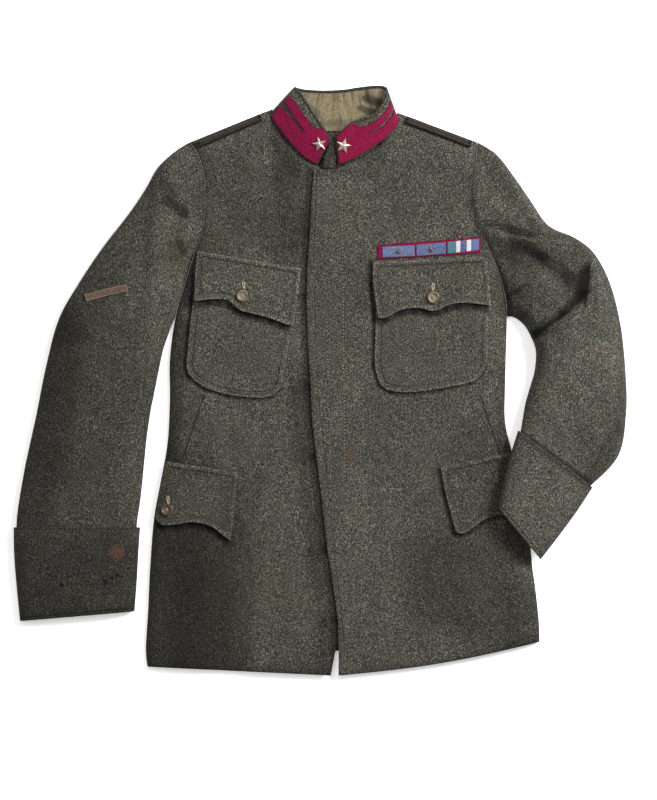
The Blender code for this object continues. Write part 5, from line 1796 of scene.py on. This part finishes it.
for name, corners in RIBBONS.items():
    plan = corner_plan(corners, 16, 50)
    crown = 0.7 + 0.5 * np.sin(math.pi * np.linspace(0.0, 1.0, 16))[:, None] ** 0.5
    piece, ribbon_tops[name] = laid_on(f"ribbon_{name}", plan, backing_carrier, 0.15, crown,
                                       ribbon_finishes[name], round_by=0.2)
    dress(piece, slot="ribbon")
    cut_from(ribbon_tops[name])
for name, place, ribbon in (("ribbon_star_first", (99.0, 160.0, 3.6, 8.0), "blue"),
                            ("ribbon_star_second", (139.5, 162.8, 4.4, 8.0), "middle_blue")):
    dress(collar_star(name, place, carrier_of(ribbon_tops[ribbon]), bronze), slot="button")
print("ribbons:", len(RIBBONS))

# %% [markdown]
# The pocket buttons are flat, with a raised rim and four holes. A profile is turned round an axis, as on a
# lathe. The cross of thread is modelled too, and each hole is a thin dark disc on the button's floor,
# painted shade where the hole would be, since a button without them reads as a coin.

# %% Turned and round parts
BUTTON_RADIUS = 7.4
BUTTON_HEIGHT = 3.4
BUTTON_PROFILE = [(0.86, 0.0), (0.96, 0.10), (1.0, 0.28), (1.0, 0.62), (0.97, 0.86), (0.90, 1.0),
                  (0.82, 1.0), (0.74, 0.92), (0.67, 0.74), (0.60, 0.62), (0.40, 0.60), (0.20, 0.60)]
HOLE_PLACE = 2.1
HOLE_RADIUS = 0.85
HOLE_DEPTH = 0.10
CROSS_RADIUS = 0.42
CROSS_RISE = 0.55


def on_cloth(carrier, x, y, lift):
    """Matrix that sets a small part square on the cloth at the plan point x, y."""
    point, normal = seat(carrier, x, y, step=4.0)
    turn = Vector((0.0, 0.0, 1.0)).rotation_difference(Vector(normal)).to_matrix().to_4x4()
    return Matrix.Translation(Vector(point + normal * lift)) @ turn


def tube_faces(rings, segments):
    """Faces of a tube of so many rings, closed at both ends."""
    faces = []
    for ring in range(rings - 1):
        for step in range(segments):
            after = (step + 1) % segments
            faces.append((ring * segments + step, ring * segments + after,
                          (ring + 1) * segments + after, (ring + 1) * segments + step))
    faces.append(tuple(reversed(range(segments))))
    faces.append(tuple(range((rings - 1) * segments, rings * segments)))
    return faces


def turned(profile, radius, height, segments):
    """Vertices and faces of a profile turned round Z, closed below and above."""
    vertices = []
    for reach, level in profile:
        for step in range(segments):
            angle = 2 * math.pi * step / segments
            vertices.append(Vector((radius * reach * math.cos(angle),
                                    radius * reach * math.sin(angle), height * level)))
    return vertices, tube_faces(len(profile), segments)


def tube(path, radius, segments=8):
    """Vertices and faces of a closed round cord along a path of points."""
    path = np.asarray(path, dtype=float)
    run = np.gradient(path, axis=0)
    run = run / np.linalg.norm(run, axis=1, keepdims=True)
    vertices = []
    for point, ahead in zip(path, run):
        side = Vector(ahead).orthogonal().normalized()
        if abs(ahead[2]) < 0.9:
            side = Vector(ahead).cross(Vector((0.0, 0.0, 1.0))).normalized()
        above = side.cross(Vector(ahead)).normalized()
        for step in range(segments):
            angle = 2 * math.pi * step / segments
            vertices.append(Vector(point) + radius * (math.cos(angle) * side + math.sin(angle) * above))
    return vertices, tube_faces(len(path), segments)


def joined(parts, matrix):
    """Vertices and faces of several parts as one, moved by a matrix."""
    vertices, faces = [], []
    for points, corners in parts:
        first = len(vertices)
        vertices += [tuple(matrix @ point) for point in points]
        faces += [tuple(first + corner for corner in face) for face in corners]
    return vertices, faces


print("points in a button's profile:", len(BUTTON_PROFILE))

# %% [markdown]
# A button is three pieces: the horn disc, four thin dark discs on its floor that are the painted shade of
# its holes, and the cross of thread. The two on the breast are paler than the two on the skirt.

# %% Buttons
def button(name, node, place, carrier, lift, material, turned_by):
    """Button with the painted shade of its holes and its thread, set on the cloth at a plan point."""
    seat_matrix = on_cloth(carrier, *place, lift)
    disc = joined([turned(BUTTON_PROFILE, BUTTON_RADIUS, BUTTON_HEIGHT, 48)], seat_matrix)
    dress(make_object(name, *disc, material), node, slot="button")
    floor = BUTTON_HEIGHT * BUTTON_PROFILE[-1][1]
    corners = [math.radians(turned_by + 45 + 90 * step) for step in range(4)]
    holes = [Vector((HOLE_PLACE * math.cos(a), HOLE_PLACE * math.sin(a), floor)) for a in corners]
    # The holes are not cut: a thin dark disc on the floor at each one is painted shade.
    dark = []
    for hole in holes:
        ring, ring_faces = turned([(1.0, 0.0), (1.0, 0.8), (0.8, 1.0)], HOLE_RADIUS, HOLE_DEPTH, 14)
        dark.append(([hole + point for point in ring], ring_faces))
    cross = []
    for start, end in ((holes[0], holes[2]), (holes[1], holes[3])):
        arch = [start.lerp(end, share) + Vector((0, 0, 0.1 + CROSS_RISE * math.sin(math.pi * share)))
                for share in np.linspace(0.0, 1.0, 9)]
        cross.append(tube([tuple(point) for point in arch], CROSS_RADIUS))
    dress(make_object(name + "_hole_shade", *joined(dark, seat_matrix), hole_shade), slot="button")
    dress(make_object(name + "_thread", *joined(cross, seat_matrix), thread_cream), slot="cotton")


hole_shade = horn("shadowed hole", (0.012, 0.010, 0.008), (0.006, 0.005, 0.004))
BUTTONS = (("breast_right", (-96, 105), "right", 0.5, horn_pale, 12.0),
           ("breast_left", (142, 103), "left", 0.5, horn_pale, 35.0),
           ("lower_right", (-190, -162), "lower right", 0.7, horn_brown, 20.0),
           ("lower_left", (242, -140), "lower left", 0.7, horn_brown, 50.0))
for where, place, flap, lift, material, turned_by in BUTTONS:
    button(f"button_{where}_horn", f"button_{where}", place, carrier_of(flap_tops[flap]), lift,
           material, turned_by)
print("buttons:", len(BUTTONS), "each", 2 * BUTTON_RADIUS, "mm across")

# %% [markdown]
# A hand-worked buttonhole is a slot edged with tight purl stitches. At this scale it is a pale
# ring of thread, a rounded cord that runs round a keyhole.

# %% Buttonholes
def buttonhole(name, carrier, centre, length, width, tilt):
    angles = np.linspace(0.0, 2 * math.pi, 41)
    lean = math.radians(tilt)
    points = []
    for angle in angles:
        across = width / 2 * math.cos(angle) * (1.0 + 0.35 * math.sin(angle))
        along = length / 2 * math.sin(angle)
        x = centre[0] + across * math.cos(lean) - along * math.sin(lean)
        y = centre[1] + across * math.sin(lean) + along * math.cos(lean)
        point, normal = seat(carrier, x, y)
        points.append(point + normal * 0.25)
    vertices, faces = tube(points, 0.8)
    dress(make_object(name, [tuple(p) for p in vertices], faces, thread_cream), slot="cotton")


buttonhole("buttonhole_breast_right", carrier_of(flap_tops["right"]), (-94.5, 118), 8.0, 2.6, 8)
buttonhole("buttonhole_breast_left", carrier_of(flap_tops["left"]), (141.5, 116), 8.5, 2.8, -6)
buttonhole("buttonhole_lower_right", carrier_of(flap_tops["lower right"]), (-189, -150), 9.0, 2.6, 4)
print("buttonholes: 3")

# %% [markdown]
# Topstitching holds every turned-in edge with even, slightly sunken stitches. Geometry Nodes are
# the tool for hundreds of equal small things: the tree walks along each line, sets a stitch every
# few millimetres and turns it along the line. The result is then made a plain mesh.

# %% Stitch tree
def stitch_tree():
    tree = bpy.data.node_groups.new("row of stitches", "GeometryNodeTree")
    tree.interface.new_socket("Geometry", in_out="INPUT", socket_type="NodeSocketGeometry")
    names = {}
    for name, kind in (("Pitch", "NodeSocketFloat"), ("Length", "NodeSocketFloat"),
                       ("Thickness", "NodeSocketFloat"), ("Thread", "NodeSocketMaterial")):
        names[name] = tree.interface.new_socket(name, in_out="INPUT", socket_type=kind).identifier
    tree.interface.new_socket("Geometry", in_out="OUTPUT", socket_type="NodeSocketGeometry")
    make = tree.nodes.new
    given = make("NodeGroupInput")
    curve = make("GeometryNodeMeshToCurve")
    points = make("GeometryNodeCurveToPoints")
    points.mode = "LENGTH"
    ball = make("GeometryNodeMeshUVSphere")
    ball.inputs["Segments"].default_value = 8
    ball.inputs["Rings"].default_value = 5
    ball.inputs["Radius"].default_value = 0.5
    aim = make("FunctionNodeAlignRotationToVector")
    aim.axis = "X"
    size = make("ShaderNodeCombineXYZ")
    place = make("GeometryNodeInstanceOnPoints")
    realize = make("GeometryNodeRealizeInstances")
    paint = make("GeometryNodeSetMaterial")
    result = make("NodeGroupOutput")
    for source, output, target, entry in (
            (given, "Geometry", curve, "Mesh"), (curve, "Curve", points, "Curve"),
            (given, "Pitch", points, "Length"), (points, "Points", place, "Points"),
            (ball, "Mesh", place, "Instance"), (points, "Tangent", aim, "Vector"),
            (aim, "Rotation", place, "Rotation"), (given, "Length", size, "X"),
            (given, "Thickness", size, "Y"), (given, "Thickness", size, "Z"),
            (size, "Vector", place, "Scale"), (place, "Instances", realize, "Geometry"),
            (realize, "Geometry", paint, "Geometry"), (given, "Thread", paint, "Material"),
            (paint, "Geometry", result, "Geometry")):
        tree.links.new(source.outputs[output], target.inputs[entry])
    return tree, names


STITCHES, STITCH_INPUTS = stitch_tree()


def stitched(name, lines, thread, pitch=3.2, length=2.3, thickness=0.75, slot="cotton"):
    """Stitches along lines of points given in millimetres."""
    vertices, edges = [], []
    for line in lines:
        first = len(vertices)
        vertices += [tuple(np.asarray(point) * MM) for point in line]
        edges += [(first + step, first + step + 1) for step in range(len(line) - 1)]
    mesh = bpy.data.meshes.new(name)
    mesh.from_pydata(vertices, edges, [])
    row = bpy.data.objects.new(name, mesh)
    bpy.context.collection.objects.link(row)
    nodes = row.modifiers.new("stitches", "NODES")
    nodes.node_group = STITCHES
    nodes[STITCH_INPUTS["Pitch"]] = pitch * MM
    nodes[STITCH_INPUTS["Length"]] = length * MM
    nodes[STITCH_INPUTS["Thickness"]] = thickness * MM
    nodes[STITCH_INPUTS["Thread"]] = thread
    ready = row.evaluated_get(bpy.context.evaluated_depsgraph_get())
    plain = bpy.data.meshes.new_from_object(ready)
    row.modifiers.clear()
    row.data = plain
    plain.shade_smooth()
    dress(row, slot=slot)
    return len(plain.polygons)


print("stitch tree with", len(STITCHES.nodes), "nodes")

# %% [markdown]
# The rows run a few millimetres inside the edges of the flaps and pockets, along the front edge,
# round the cuffs and down the fly. The fly is sewn by hand in a paler thread, with longer steps.

# %% Topstitching
LIFT = np.array([0.0, 0.0, 0.1])


def point_along(line, distance):
    """Point of a line at one distance from its start."""
    length = running_length(line)
    return np.array([np.interp(distance, length, line[:, axis]) for axis in range(3)])


def inset(grid, distance):
    """Line at one distance inside the left, lower and right edge of a grid."""
    def far(point, corner):
        return np.linalg.norm(point - corner) > distance

    low_left, low_right = grid[-1, 0], grid[-1, -1]
    left = [point_along(row, distance) for row in grid if far(row[0], low_left)]
    right = [point_along(row[::-1], distance) for row in grid if far(row[-1], low_right)]
    low = [point_along(grid[::-1, column], distance) for column in range(grid.shape[1])
           if far(grid[-1, column], low_left) and far(grid[-1, column], low_right)]
    return np.array(left + low + right[::-1]) + LIFT


def along_panel(carrier, plan, step=4.0):
    """Line on a panel above a plan line."""
    plan = np.array(plan, dtype=float)
    length = np.concatenate([[0.0], np.cumsum(np.linalg.norm(np.diff(plan, axis=0), axis=1))])
    places = np.linspace(0.0, length[-1], max(3, int(length[-1] / step)))
    x = np.interp(places, length, plan[:, 0])
    y = np.interp(places, length, plan[:, 1])
    return [drop_on(carrier, *point) + LIFT for point in zip(x, y)]


flap_lines = [inset(top, 7.0) for top in flap_tops.values()]
pocket_lines = [inset(top, 6.5) for top in pocket_tops.values()]
edge_line = np.array([point_along(row[::-1], 8.4) for row in front_left_face[6:136]]) + LIFT
fly_line = along_panel(left_carrier, [(29, 258), (29, 150), (32, -120)])
cuff_lines = []
for side, ring in cuff_rings.items():
    over_top = ring[:, :2 * UPPER_CELLS[0] + UPPER_CELLS[1] + 1]
    cuff_lines.append(np.array([point_along(over_top[:, column], 4.0)
                                for column in range(4, over_top.shape[1] - 4)]) + LIFT)
counts = [stitched("flap_stitches", flap_lines, thread_grey),
          stitched("pocket_stitches", pocket_lines, thread_grey),
          stitched("front_edge_stitches", [edge_line], thread_grey),
          stitched("fly_stitches", [fly_line], thread_cream, pitch=4.4, length=2.6, thickness=0.8),
          stitched("cuff_stitches", cuff_lines, thread_grey)]
print("faces of the stitches:", counts)

# The whole tunic lies on the table, and each piece rests on the one below it.

# %% [markdown]
# The dressed tunic should agree with the size of the packed solids within a few millimetres, because the
# dressing only adds skin and thread.
